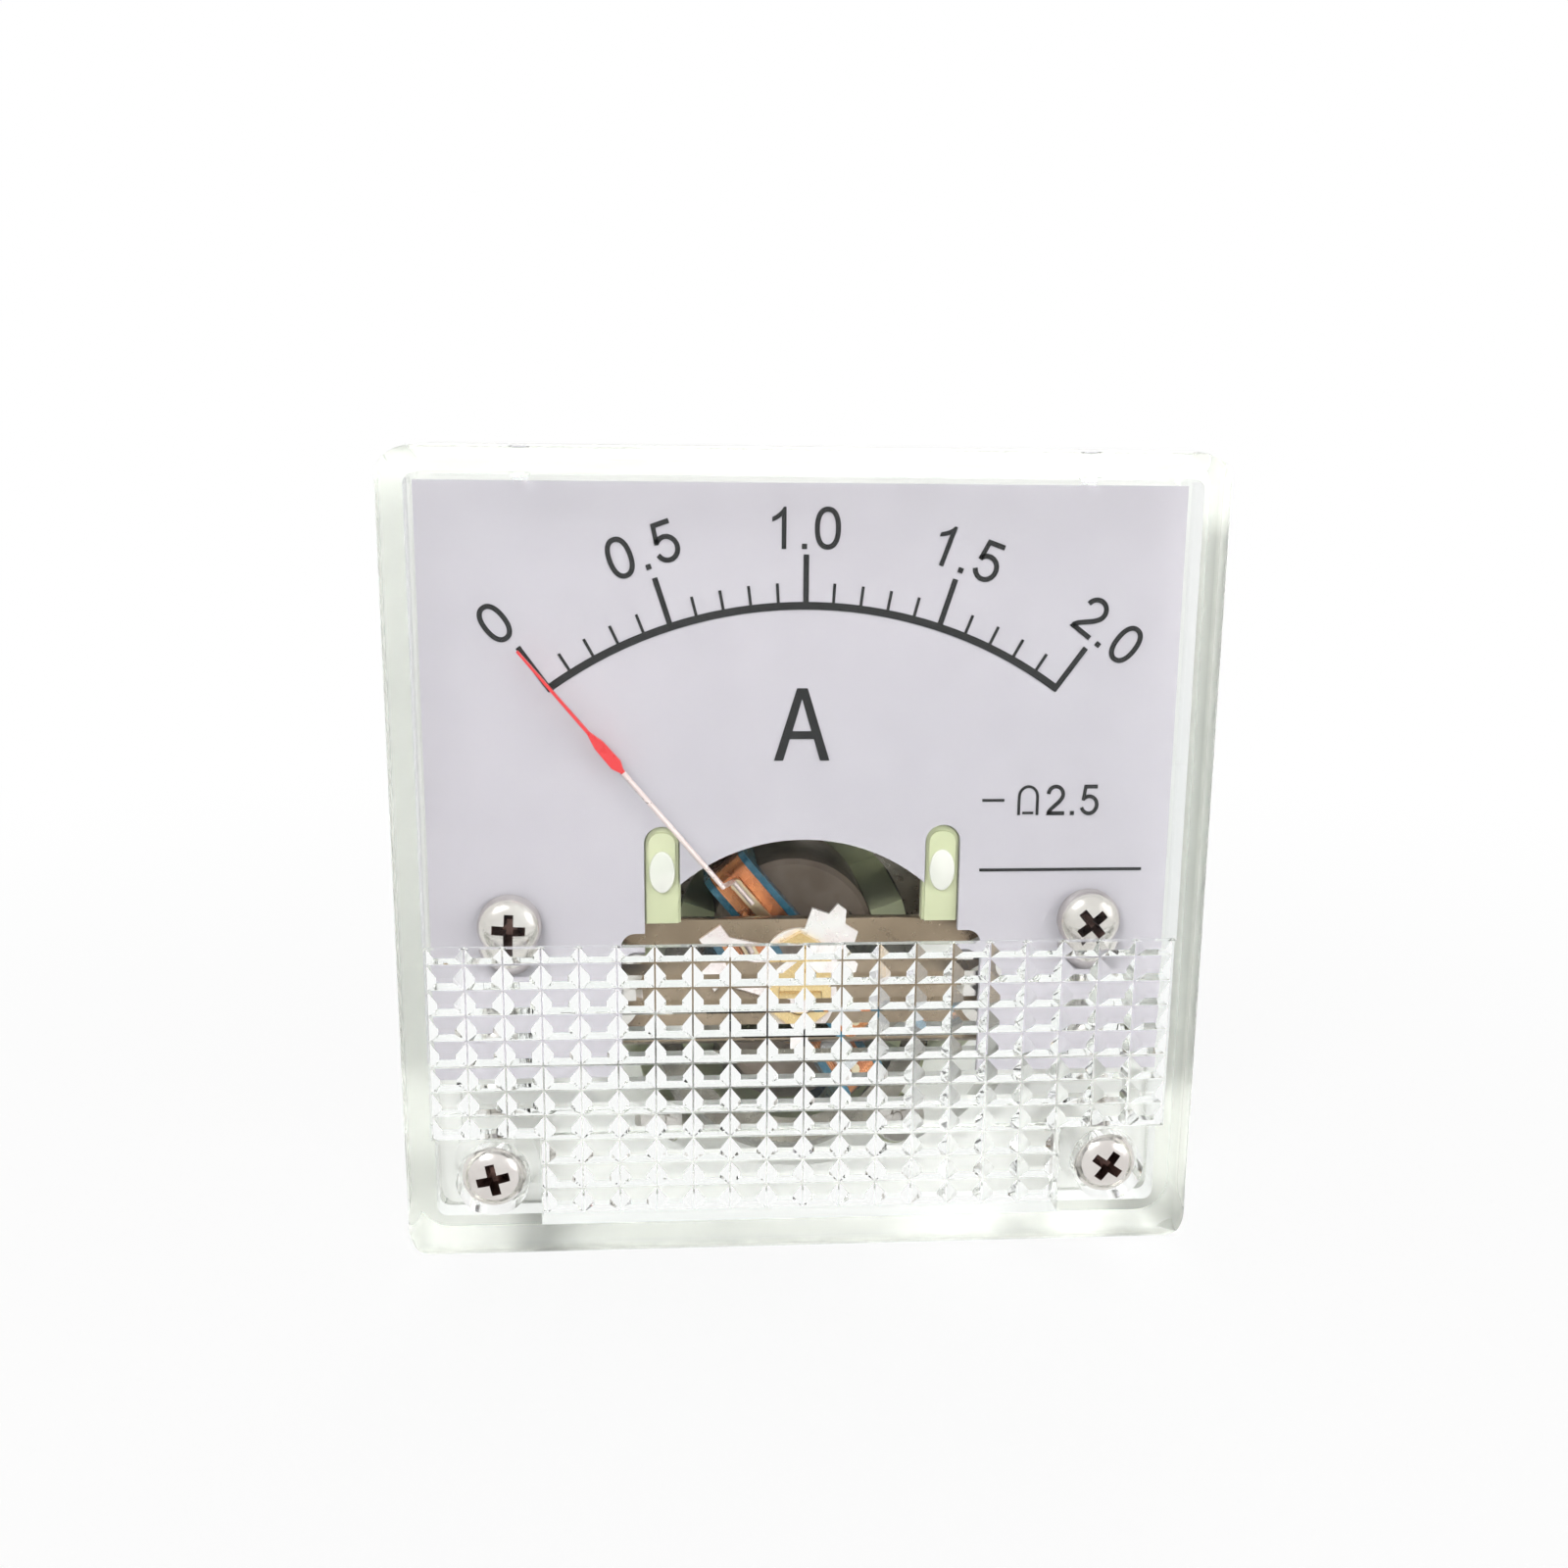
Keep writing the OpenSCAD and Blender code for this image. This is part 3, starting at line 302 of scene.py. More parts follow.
# %% [markdown]
# ## Clear plastic
# The cover is clear acrylic. A mix of glass and transparency could stand for it, but a plain
# transmission weight and index of refraction bend the view through its prisms. Only the faint
# ripple of the moulding reaches its normal. A low specular tint weakens the room's reflection
# over the print. Lamps don't count the cover in their shadows, so the dial behind it is lit as
# behind a real window.

# %% Cover
ACRYLIC_INDEX = 1.49
REFLECTION = 0.12
RIPPLE_SCALE, RIPPLE_STRENGTH, RIPPLE_DEPTH = 60, 0.08, 0.02 * MM


def dress(material, *nodes):
    """Give a finish to solids of the frame."""
    for node in nodes:
        for slot in frame["nodes"][node].material_slots:
            slot.material = material
    print(material.name, "on", ", ".join(nodes))


clear = bpy.data.materials.new("clear_acrylic")
clear.use_nodes = True
tree = clear.node_tree
shader = tree.nodes["Principled BSDF"]
shader.inputs["Transmission Weight"].default_value = 1.0
shader.inputs["IOR"].default_value = ACRYLIC_INDEX
shader.inputs["Roughness"].default_value = 0.0
shader.inputs["Specular Tint"].default_value = (REFLECTION, REFLECTION, REFLECTION, 1)
look = tree.nodes.new("ShaderNodeGroup")
look.node_tree = grain
look.inputs["Cloud Scale"].default_value = RIPPLE_SCALE
tint = tree.nodes.new("ShaderNodeMix")
tint.data_type = "RGBA"
tint.inputs["A"].default_value = (0.985, 0.995, 0.985, 1)
tint.inputs["B"].default_value = (0.97, 0.985, 0.975, 1)
link(tree, look.outputs["Cloud"], tint.inputs["Factor"])
link(tree, tint.outputs["Result"], shader.inputs["Base Color"])
ripple = tree.nodes.new("ShaderNodeBump")
ripple.inputs["Strength"].default_value = RIPPLE_STRENGTH
ripple.inputs["Distance"].default_value = RIPPLE_DEPTH
link(tree, look.outputs["Cloud"], ripple.inputs["Height"])
link(tree, ripple.outputs["Normal"], shader.inputs["Normal"])
dress(clear, "cover")
frame["nodes"]["cover"].visible_shadow = False

# %% [markdown]
# ## Paint, plastic and metal
# These finishes differ in a few numbers only, so one function makes them all from a light and a
# dark colour, a range of roughness and a relief. Each tree could be written out, but that would
# hide what sets one finish apart from the next. The dial's matt paint and its ink come first.

# %% Dial paint and ink


def finish(name, light, dark, rough=(0.35, 0.5), metal=0.0, cloud=150, grain_scale=2500,
           relief=0.15, depth=0.02, coat=0.0, lines=0, lined=turned):
    """A material whose colour drifts from light to dark and whose roughness follows the grain.

    relief is the strength of its bump and depth the bump's height in mm. The bump follows the
    grain or, where lines gives a scale, the lines of the group lined.
    """
    mat = bpy.data.materials.new(name)
    mat.use_nodes = True
    tree = mat.node_tree
    shader = tree.nodes["Principled BSDF"]
    shader.inputs["Metallic"].default_value = metal
    shader.inputs["Coat Weight"].default_value = coat
    look = tree.nodes.new("ShaderNodeGroup")
    look.node_tree = grain
    look.inputs["Cloud Scale"].default_value = cloud
    look.inputs["Grain Scale"].default_value = grain_scale
    tint = tree.nodes.new("ShaderNodeMix")
    tint.data_type = "RGBA"
    tint.inputs["A"].default_value = (*light, 1)
    tint.inputs["B"].default_value = (*dark, 1)
    link(tree, look.outputs["Cloud"], tint.inputs["Factor"])
    link(tree, tint.outputs["Result"], shader.inputs["Base Color"])
    gloss = tree.nodes.new("ShaderNodeMapRange")
    gloss.inputs["To Min"].default_value, gloss.inputs["To Max"].default_value = rough
    link(tree, look.outputs["Grain"], gloss.inputs["Value"])
    link(tree, gloss.outputs["Result"], shader.inputs["Roughness"])
    height = look.outputs["Grain"]
    if lines:
        grooves = tree.nodes.new("ShaderNodeGroup")
        grooves.node_tree = lined
        grooves.inputs["Line Scale"].default_value = lines
        height = grooves.outputs["Lines"]
    bump = tree.nodes.new("ShaderNodeBump")
    bump.inputs["Strength"].default_value = relief
    bump.inputs["Distance"].default_value = depth * MM
    link(tree, height, bump.inputs["Height"])
    link(tree, bump.outputs["Normal"], shader.inputs["Normal"])
    return mat


dial_paint = finish("dial_paint", (0.530, 0.505, 0.550), (0.510, 0.485, 0.530), (0.5, 0.6),
                    cloud=300, grain_scale=6000, relief=0.08, depth=0.01)
ink = finish("printed_ink", (0.006, 0.006, 0.007), (0.012, 0.012, 0.013), (0.45, 0.6),
             grain_scale=8000)
dress(dial_paint, "dial_plate")
dress(ink, "dial_scale")

# %% [markdown]
# ## Moulded base and frame
# The base is a pale, faintly green moulding, and the movement frame is of the same kind but
# deeper in colour. Subsurface scattering could make them milky, but a share of rough transmission
# is a single number. The base lets much light pass, and the frame only a little. Lamps don't
# count the base in their shadows either.

# %% Base and movement frame
base_plastic = finish("base_moulding", (0.975, 0.98, 0.955), (0.96, 0.966, 0.935), (0.42, 0.56),
                      cloud=40, grain_scale=900, relief=0.1)
frame_plastic = finish("frame_moulding", (0.72, 0.75, 0.50), (0.63, 0.67, 0.42), (0.3, 0.45),
                       cloud=90, grain_scale=1200, relief=0.15)
for plastic, share in ((base_plastic, 0.6), (frame_plastic, 0.1)):
    plastic.node_tree.nodes["Principled BSDF"].inputs["Transmission Weight"].default_value = share
dress(base_plastic, "base")
dress(frame_plastic, "movement_frame")
frame["nodes"]["base"].visible_shadow = False

# %% [markdown]
# ## Metals, wires and lacquers
# Plated steel is smooth and bright, turned brass carries the fine rings of its tool, and iron is
# duller with a dark drift. The winding's turns could be modelled one by one, but they are very
# fine, so close lines in the relief of its solid stand for them.

# %% Hardware
nickel = finish("plated_steel", (0.80, 0.77, 0.74), (0.66, 0.62, 0.59), (0.14, 0.26), 1.0,
                cloud=400, grain_scale=3000, relief=0.1)
brass = finish("turned_brass", (0.86, 0.66, 0.34), (0.74, 0.53, 0.25), (0.2, 0.34), 1.0,
               cloud=300, relief=0.12, lines=2600)
bridge_brass = finish("bridge_brass", (0.36, 0.28, 0.20), (0.25, 0.19, 0.13), (0.24, 0.42), 1.0,
                      cloud=200, relief=0.15)
arm_brass = finish("arm_brass", (0.78, 0.67, 0.47), (0.66, 0.54, 0.36), (0.28, 0.4), 1.0)
tinned = finish("tinned_copper", (0.80, 0.79, 0.76), (0.66, 0.65, 0.62), (0.25, 0.42), 1.0,
                cloud=350, relief=0.2)
dress(nickel, "dial_screws", "cover_screws", "mounting_studs", "movement_screws",
      "front_bridge_screws", "rear_bridge_screws", "terminal_washers", "pointer_stops")
dress(brass, "terminal_studs", "terminal_fixing_nuts", "terminal_nuts", "front_jewel_screw",
      "front_lock_nut", "rear_jewel_screw", "rear_lock_nut")
dress(bridge_brass, "front_bridge", "rear_bridge", "rear_spring_anchor")
dress(arm_brass, "pointer_arm")
dress(tinned, "solder_lugs")

# %% Magnet, coil and bearings
yoke_iron = finish("yoke_iron", (0.34, 0.32, 0.27), (0.18, 0.165, 0.14), (0.22, 0.4), 0.9,
                   cloud=350, relief=0.3)
magnet_alloy = finish("magnet_alloy", (0.42, 0.335, 0.27), (0.31, 0.24, 0.19), (0.4, 0.6), 0.35,
                      cloud=450, relief=0.35)
lever_metal = finish("lever_metal", (0.96, 0.93, 0.91), (0.90, 0.78, 0.77), (0.25, 0.38), 0.75,
                     cloud=500)
bronze = finish("spring_bronze", (0.72, 0.52, 0.28), (0.6, 0.42, 0.22), (0.25, 0.35), 1.0)
ruby = finish("ruby", (0.62, 0.04, 0.12), (0.45, 0.02, 0.08), (0.05, 0.12), coat=0.6)
enamel = finish("former_enamel", (0.05, 0.20, 0.30), (0.03, 0.14, 0.22), (0.2, 0.32), 0.3,
                coat=0.3)
copper = finish("copper_wire", (0.78, 0.36, 0.16), (0.52, 0.17, 0.08), (0.2, 0.32), 1.0,
                cloud=260, relief=0.5, depth=0.03, lines=2600, lined=wound)
pivot_steel = finish("pivot_steel", (0.7, 0.7, 0.72), (0.6, 0.6, 0.63), (0.12, 0.2), 1.0)
solder = finish("solder", (0.72, 0.73, 0.75), (0.58, 0.59, 0.61), (0.25, 0.4), 1.0, relief=0.3)
dress(yoke_iron, "yoke_ring")
dress(magnet_alloy, "core_magnet")
dress(lever_metal, "zero_lever")
dress(bronze, "front_hairspring", "rear_hairspring")
dress(ruby, "front_jewel", "rear_jewel")
dress(enamel, "coil_former")
dress(copper, "coil_winding")
dress(pivot_steel, "front_staff", "rear_staff")
dress(solder, "balance_weights")

# %% Leads, shunt and resistor
manganin = finish("manganin_wire", (0.66, 0.46, 0.33), (0.54, 0.36, 0.25), (0.25, 0.4), 1.0,
                  cloud=500)
red_vinyl = finish("red_vinyl", (0.58, 0.03, 0.025), (0.48, 0.02, 0.02), (0.35, 0.5))
black_vinyl = finish("black_vinyl", (0.018, 0.018, 0.02), (0.03, 0.03, 0.032), (0.35, 0.5))
resistor_coat = finish("resistor_lacquer", (0.62, 0.50, 0.30), (0.55, 0.43, 0.25), (0.3, 0.45))
dress(manganin, "shunt")
dress(red_vinyl, "positive_lead")
dress(black_vinyl, "negative_lead")
dress(resistor_coat, "swamping_resistor")

# %% [markdown]
# ## Pointer
# The pointer is a thin silvery tube with a red flag, and past the flag only the red tip goes on.
# Two materials could share out its faces, but the frame's meshes are left alone, so the distance
# from the pivot decides the colour. That distance doesn't change as the pointer swings.

# %% Pointer
PIVOT = Vector(next(j["pos_m"] for j in frame["record"]["behaviour"]["joints"]
                    if j["name"] == "pointer_swing"))
FLAG_FOOT = 15.6 * MM
TUBE_METAL, FLAG_METAL = 0.6, 0.0
pointer_metal = finish("pointer_tube", (0.86, 0.74, 0.72), (0.78, 0.64, 0.62), (0.25, 0.4))
tree = pointer_metal.node_tree
shader = tree.nodes["Principled BSDF"]
spot = tree.nodes.new("ShaderNodeTexCoord")
flat = tree.nodes.new("ShaderNodeVectorMath")
flat.operation = "MULTIPLY_ADD"
flat.inputs[1].default_value = (1, 0, 1)
flat.inputs[2].default_value = (-PIVOT.x, 0, -PIVOT.z)
reach = tree.nodes.new("ShaderNodeVectorMath")
reach.operation = "LENGTH"
past = tree.nodes.new("ShaderNodeMath")
past.operation = "GREATER_THAN"
past.inputs[1].default_value = FLAG_FOOT
red = tree.nodes.new("ShaderNodeMix")
red.data_type = "RGBA"
red.inputs["B"].default_value = (0.72, 0.045, 0.05, 1)
metal_share = tree.nodes.new("ShaderNodeMapRange")
metal_share.inputs["To Min"].default_value = TUBE_METAL
metal_share.inputs["To Max"].default_value = FLAG_METAL
link(tree, spot.outputs["Object"], flat.inputs[0])
link(tree, flat.outputs[0], reach.inputs[0])
link(tree, reach.outputs["Value"], past.inputs[0])
link(tree, past.outputs[0], red.inputs["Factor"])
link(tree, shader.inputs["Base Color"].links[0].from_socket, red.inputs["A"])
link(tree, red.outputs["Result"], shader.inputs["Base Color"])
link(tree, past.outputs[0], metal_share.inputs["Value"])
link(tree, metal_share.outputs["Result"], shader.inputs["Metallic"])
dress(pointer_metal, "pointer")

# %% [markdown]
# ## Pan-head screws
# The screws that show have rounded pan heads with a cross recess. A head could be a squashed
# sphere, but a profile spun round its axis keeps the flat seat and the rounded crown. The cross
# is cut by a Boolean, one wing at a time, with a cutter that narrows to its foot. The cutter
# hands the walls that it cuts a dark brown of painted shade, since so narrow a recess is in shade.

# %% Helpers for turned pieces


def spun(profile, segments=48):
    """A closed mesh: the profile's (radius, y) points in mm, spun round the Y axis."""
    bm = bmesh.new()
    verts = [bm.verts.new((r * MM, y * MM, 0)) for r, y in profile]
    edges = [bm.edges.new(pair) for pair in zip(verts, verts[1:])]
    bmesh.ops.spin(bm, geom=verts + edges, cent=(0, 0, 0), axis=(0, 1, 0), dvec=(0, 0, 0),
                   angle=2 * math.pi, steps=segments, use_merge=True, use_duplicate=False)
    bmesh.ops.remove_doubles(bm, verts=bm.verts, dist=MERGE_WITHIN)
    bmesh.ops.recalc_face_normals(bm, faces=bm.faces)
    return bm


def as_object(name, bm, *materials):
    mesh = bpy.data.meshes.new(name)
    bm.to_mesh(mesh)
    bm.free()
    for material in materials:
        mesh.materials.append(material)
    thing = bpy.data.objects.new(name, mesh)
    bpy.context.collection.objects.link(thing)
    return thing


def boolean(body, tool, operation="DIFFERENCE"):
    """Cut body with tool, keep the result as body's mesh, and throw the tool away."""
    cut = body.modifiers.new("cut", "BOOLEAN")
    cut.operation = operation
    cut.solver = "EXACT"
    cut.material_mode = "TRANSFER"
    cut.object = tool
    bpy.context.view_layer.update()
    shaped = bpy.data.meshes.new_from_object(body.evaluated_get(
        bpy.context.evaluated_depsgraph_get()))
    body.modifiers.clear()
    body.data = shaped
    bpy.data.objects.remove(tool)


def smooth(thing, angle=32):
    """Shade a piece smooth, and keep its edges sharp past this angle in degrees."""
    for face in thing.data.polygons:
        face.use_smooth = True
    thing.data.set_sharp_from_angle(angle=math.radians(angle))


def middle(node, side):
    """Axis of one of a node's two equal pieces, left -1 or right 1, and its front face."""
    low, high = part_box(node)
    radius = (high.z - low.z) / 2
    return Vector((side * (high.x - radius), low.y, low.z + radius))


print("left dial screw at", [round(v / MM, 2) for v in middle("dial_screws", -1)])

# %% Screws
HEAD_DEPTH, SHANK_R, POINT_R, POINT_LENGTH = 1.3, 1.0, 0.5, 0.4
HEAD = [(0, 0), (0.4, 0.0), (0.75, 0.03), (1.10, 0.10), (1.40, 0.22), (1.62, 0.40),
        (1.75, 0.60), (1.8, 0.80), (1.8, HEAD_DEPTH)]
WING_LENGTH, WING_HEIGHT, WING_WIDTH, WING_SINK = 2.1, 1.1, 0.56, 0.40
FOOT_LENGTH_SHARE, FOOT_WIDTH_SHARE = 0.42, 0.6
# Painted shade: the walls of the cross recess are coloured dark brown because they lie deep in
# shade.
recess_shade = finish("screw_recess_painted_shade", (0.20, 0.12, 0.10), (0.055, 0.03, 0.025), (0.25, 0.45), 0.85,
                cloud=900)


def recess_wing(angle):
    """One wing of the cross, wide and long at the mouth and narrow at the foot."""
    bm = bmesh.new()
    wing = bmesh.ops.create_cube(bm, size=1)["verts"]
    bmesh.ops.scale(bm, vec=(WING_LENGTH * MM, WING_HEIGHT * MM, WING_WIDTH * MM), verts=wing)
    bmesh.ops.scale(bm, vec=(FOOT_LENGTH_SHARE, 1, FOOT_WIDTH_SHARE),
                    verts=[v for v in wing if v.co.y > 0])
    bmesh.ops.translate(bm, vec=(0, WING_SINK * MM, 0), verts=wing)
    bmesh.ops.rotate(bm, cent=(0, 0, 0), verts=wing,
                     matrix=Matrix.Rotation(math.radians(angle), 3, "Y"))
    return bm


def screws(name, node, turns):
    """Both pan-head screws of a node, as one piece that stands for it."""
    low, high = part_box(node)
    length = (high.y - low.y) / MM
    shank = [(SHANK_R, HEAD_DEPTH), (SHANK_R, length - POINT_LENGTH), (POINT_R, length),
             (0, length)]
    both = bmesh.new()
    for side, turn in zip((-1, 1), turns):
        body = as_object("blank", spun(HEAD + shank), nickel)
        for angle in (turn, turn + 90):
            boolean(body, as_object("cutter", recess_wing(angle), recess_shade))
        body.data.transform(Matrix.Translation(middle(node, side)))
        both.from_mesh(body.data)
        slots = list(body.data.materials)
        bpy.data.objects.remove(body)
    pair = as_object(name, both, *slots)
    smooth(pair)
    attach(pair, "housing")
    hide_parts(node)
    print(name, len(pair.data.polygons), "faces", [m.name for m in slots])


screws("cover_screw_pair", "cover_screws", (-12, 35))
screws("dial_screw_pair", "dial_screws", (3, 50))

# %% [markdown]
# ## Bridge
# The front bridge is a stamped brass plate with round ends, a bore for the jewel screw and two
# for its own screws. A Bevel modifier could round a merged copy of its solid, but the plate is
# made from its outline here, so that the bevel meets no stray edges. It keeps the solid's form,
# and gains the small bevel of a stamped edge, so that its rim catches the light.

# %% Plates from an outline


def arc(cx, cz, rx, rz, start, stop, steps=14):
    """Points on part of an ellipse, from the angle start to stop in degrees."""
    turn = [math.radians(start + (stop - start) * i / steps) for i in range(steps + 1)]
    return [(cx + rx * math.cos(a), cz + rz * math.sin(a)) for a in turn]


SAME_DEPTH = 1e-7


def plate(name, outline, y_front, thick, edge, *materials):
    """A stamped plate: an outline of (x, z) in mm, extruded along Y, with bevelled edges."""
    bm = bmesh.new()
    rim = [bm.verts.new((x * MM, y_front * MM, z * MM)) for x, z in outline]
    face = bm.faces.new(rim)
    grown = bmesh.ops.extrude_face_region(bm, geom=[face])["geom"]
    bmesh.ops.translate(bm, vec=(0, thick * MM, 0),
                        verts=[v for v in grown if isinstance(v, bmesh.types.BMVert)])
    bmesh.ops.recalc_face_normals(bm, faces=bm.faces)
    rims = [e for e in bm.edges if abs(e.verts[0].co.y - e.verts[1].co.y) < SAME_DEPTH]
    bmesh.ops.bevel(bm, geom=rims, offset=edge * MM, segments=2, profile=0.5, affect="EDGES",
                    clamp_overlap=True, material=-1)
    return as_object(name, bm, *materials)


print("a quarter turn", [(round(x, 2), round(z, 2)) for x, z in arc(0, 0, 1, 1, 0, 90, 2)])
CUTTER_EXTRA = 1


def drill(body, material, radius, y_front, y_back, x=0.0, z=0.0):
    """A bore along Y through a body that lies between y_front and y_back, all in mm."""
    start, stop = y_front - CUTTER_EXTRA, y_back + CUTTER_EXTRA
    bore = as_object("bore", spun([(0, start), (radius, start), (radius, stop), (0, stop)]),
                     material)
    bore.data.transform(Matrix.Translation((x * MM, 0, z * MM)))
    boolean(body, bore)


# %% Front bridge
BRIDGE_BEVEL, JEWEL_BORE_R, SCREW_BORE_R, END_STEPS = 0.08, 1.26, 1.01, 32
low, high = (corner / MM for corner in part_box("front_bridge"))
END_R = (high.z - low.z) / 2
END_X = high.x - END_R
BRIDGE_Z = (low.z + high.z) / 2
outline = (arc(END_X, BRIDGE_Z, END_R, END_R, -90, 90, END_STEPS)
           + arc(-END_X, BRIDGE_Z, END_R, END_R, 90, 270, END_STEPS))
bridge = plate("bevelled_bridge", outline, low.y, high.y - low.y, BRIDGE_BEVEL, bridge_brass)
for x, radius in ((0, JEWEL_BORE_R), (-END_X, SCREW_BORE_R), (END_X, SCREW_BORE_R)):
    drill(bridge, bridge_brass, radius, low.y, high.y, x, BRIDGE_Z)
smooth(bridge)
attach(bridge, "housing")
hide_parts("front_bridge")
print("bridge", len(bridge.data.polygons), "faces")

# %% [markdown]
# ## Posts in the slots
# The frame's two posts fill the slots of the dial, with rounded tops and a paler oval on the end
# of each. The frame's solid could be scaled there, but its mesh is left alone, so each post gets
# a jacket: a plate that fills the slot, one a little wider behind the sheet, which closes the
# gap, and the oval in front.

# %% Post jackets
post_end = finish("post_end", (0.76, 0.75, 0.70), (0.70, 0.71, 0.64), (0.35, 0.5), cloud=500)
dial_low, dial_high = (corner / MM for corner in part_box("dial_plate"))
SLOT_X, CAP_Z, CAP_STEPS, JACKET_FOOT, JACKET_BEVEL = 7.95, 0.8, 16, -3.9, 0.05
FRONT_HALF, FRONT_SINK, FRONT_THICK = 0.93, 0.30, 0.2
BACK_HALF, BACK_GAP, BACK_THICK = FRONT_HALF + 0.12, 0.02, 0.9
OVAL_Z, OVAL_HALF_X, OVAL_HALF_Z, OVAL_STEPS = -0.85, 0.72, 1.2, 40
OVAL_SINK, OVAL_THICK, OVAL_BEVEL = 0.02, 0.3, 0.08


def oval(cx, cz, rx, rz, square=1.0):
    """An upright ellipse, which a square under 1 fills out toward its corners."""
    out = []
    for i in range(OVAL_STEPS):
        c, s = (f(2 * math.pi * i / OVAL_STEPS) for f in (math.cos, math.sin))
        out.append((cx + rx * math.copysign(abs(c) ** square, c),
                    cz + rz * math.copysign(abs(s) ** square, s)))
    return out


def jacket_outline(x, half):
    """A post seen from the front: a flat foot and a round cap."""
    cap = arc(x, CAP_Z, half, half, 180, 0, CAP_STEPS)
    return [(x - half, JACKET_FOOT)] + cap + [(x + half, JACKET_FOOT)]


jackets = bmesh.new()
for side in (-1, 1):
    x = side * SLOT_X
    front = plate("jacket", jacket_outline(x, FRONT_HALF), dial_low.y + FRONT_SINK, FRONT_THICK,
                  JACKET_BEVEL, frame_plastic)
    back = plate("jacket", jacket_outline(x, BACK_HALF), dial_high.y + BACK_GAP, BACK_THICK,
                 JACKET_BEVEL, frame_plastic)
    end = plate("end", oval(x, OVAL_Z, OVAL_HALF_X, OVAL_HALF_Z), dial_low.y + OVAL_SINK,
                OVAL_THICK, OVAL_BEVEL, frame_plastic)
    for face in end.data.polygons:
        face.material_index = 1
    for part in (front, back, end):
        jackets.from_mesh(part.data)
        bpy.data.objects.remove(part)
posts = as_object("post_jackets", jackets, frame_plastic, post_end)
smooth(posts)
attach(posts, "housing")
print("jackets", len(posts.data.polygons), "faces")

# %% [markdown]
# ## Threads and nuts
# A thread could be a swept helix, but a helix has to be joined to its bar. Here the bar is a
# profile spun with close rings, after which the points of its wall move in by a wave that climbs
# one pitch a turn, so the mesh stays closed. The nuts are hexagons whose two ends are cut back
# to a cone by a Boolean, as a lathe turns them.

# %% Threads
THREAD_SIDES, RINGS_A_PITCH = 40, 8
LEAD_IN, TIP_SHARE, ROOT_FLAT = 0.35, 0.3, 1.15
TOLERANCE = 0.01


def threaded(profile_end, radius, y_from, y_to, tip, pitch, depth):
    """A bar with a threaded wall: profile_end closes it at y_from, a cone of height tip at y_to."""
    rings = int((y_to - y_from) / (pitch / RINGS_A_PITCH))
    wall = [(radius, y_from + (y_to - y_from) * i / rings) for i in range(rings + 1)]
    bm = spun(profile_end + wall + [(radius - tip, y_to + tip), (0, y_to + tip)], THREAD_SIDES)
    for vert in bm.verts:
        y = vert.co.y / MM
        reach = math.hypot(vert.co.x, vert.co.z)
        if y_from + TOLERANCE < y < y_to + TOLERANCE and reach > (radius - TOLERANCE) * MM:
            turn = math.atan2(vert.co.z, vert.co.x) / (2 * math.pi)
            wave = abs(((y / pitch + turn) % 1) * 2 - 1)
            fade = min((y - y_from) / LEAD_IN, (y_to - y) / LEAD_IN + TIP_SHARE, 1)
            scale = 1 - depth * min(max(fade, 0), 1) * min(wave * ROOT_FLAT, 1) / radius
            vert.co.x *= scale
            vert.co.z *= scale
    bmesh.ops.recalc_face_normals(bm, faces=bm.faces)
    return bm


def gather(name, parts, places, node):
    """Put copies of the parts at places, as one piece that stands for node."""
    whole = bmesh.new()
    for place in places:
        for part in parts:
            copy = part.data.copy()
            copy.transform(Matrix.Translation(place))
            whole.from_mesh(copy)
            bpy.data.meshes.remove(copy)
    slots = list(parts[0].data.materials)
    for part in parts:
        bpy.data.objects.remove(part)
    thing = as_object(name, whole, *slots)
    smooth(thing)
    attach(thing, "housing")
    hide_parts(node)
    print(name, len(thing.data.polygons), "faces")


# %% Terminal studs and their nuts
NUT_ACROSS, NUT_CHAMFER, BORE_ROOM = 7.0, 0.4, 0.02
HEX_ACROSS, HEX_CHAMFER, HEX_END, HEX_OVERLAP = 6.0, 0.35, 17.2, 0.2
TERMINAL_R, TERMINAL_TIP, TERMINAL_PITCH, TERMINAL_DEPTH, THREAD_START = 2.0, 0.4, 0.7, 0.28, 18.2
FACE_INSET, CORNER_ROOM, CONE_SIDES = 0.05, 0.02, 72


def hexagon_bar(across, y_from, y_to, chamfer):
    """A hexagon whose corners are turned off to a cone at both ends."""
    flat = across / 2
    corner = flat / math.cos(math.pi / 6)
    bm = bmesh.new()
    ring = [bm.verts.new((corner * MM * math.cos(math.radians(60 * i + 30)), y_from * MM,
                          corner * MM * math.sin(math.radians(60 * i + 30)))) for i in range(6)]
    face = bm.faces.new(ring)
    grown = bmesh.ops.extrude_face_region(bm, geom=[face])["geom"]
    bmesh.ops.translate(bm, vec=(0, (y_to - y_from) * MM, 0),
                        verts=[v for v in grown if isinstance(v, bmesh.types.BMVert)])
    bmesh.ops.recalc_face_normals(bm, faces=bm.faces)
    bar = as_object("hexagon", bm, brass)
    inner, outer = flat - FACE_INSET, corner + CORNER_ROOM
    cone = [(0, y_from), (inner, y_from), (outer, y_from + chamfer), (outer, y_to - chamfer),
            (inner, y_to), (0, y_to)]
    boolean(bar, as_object("cone", spun(cone, CONE_SIDES), brass), "INTERSECT")
    return bar


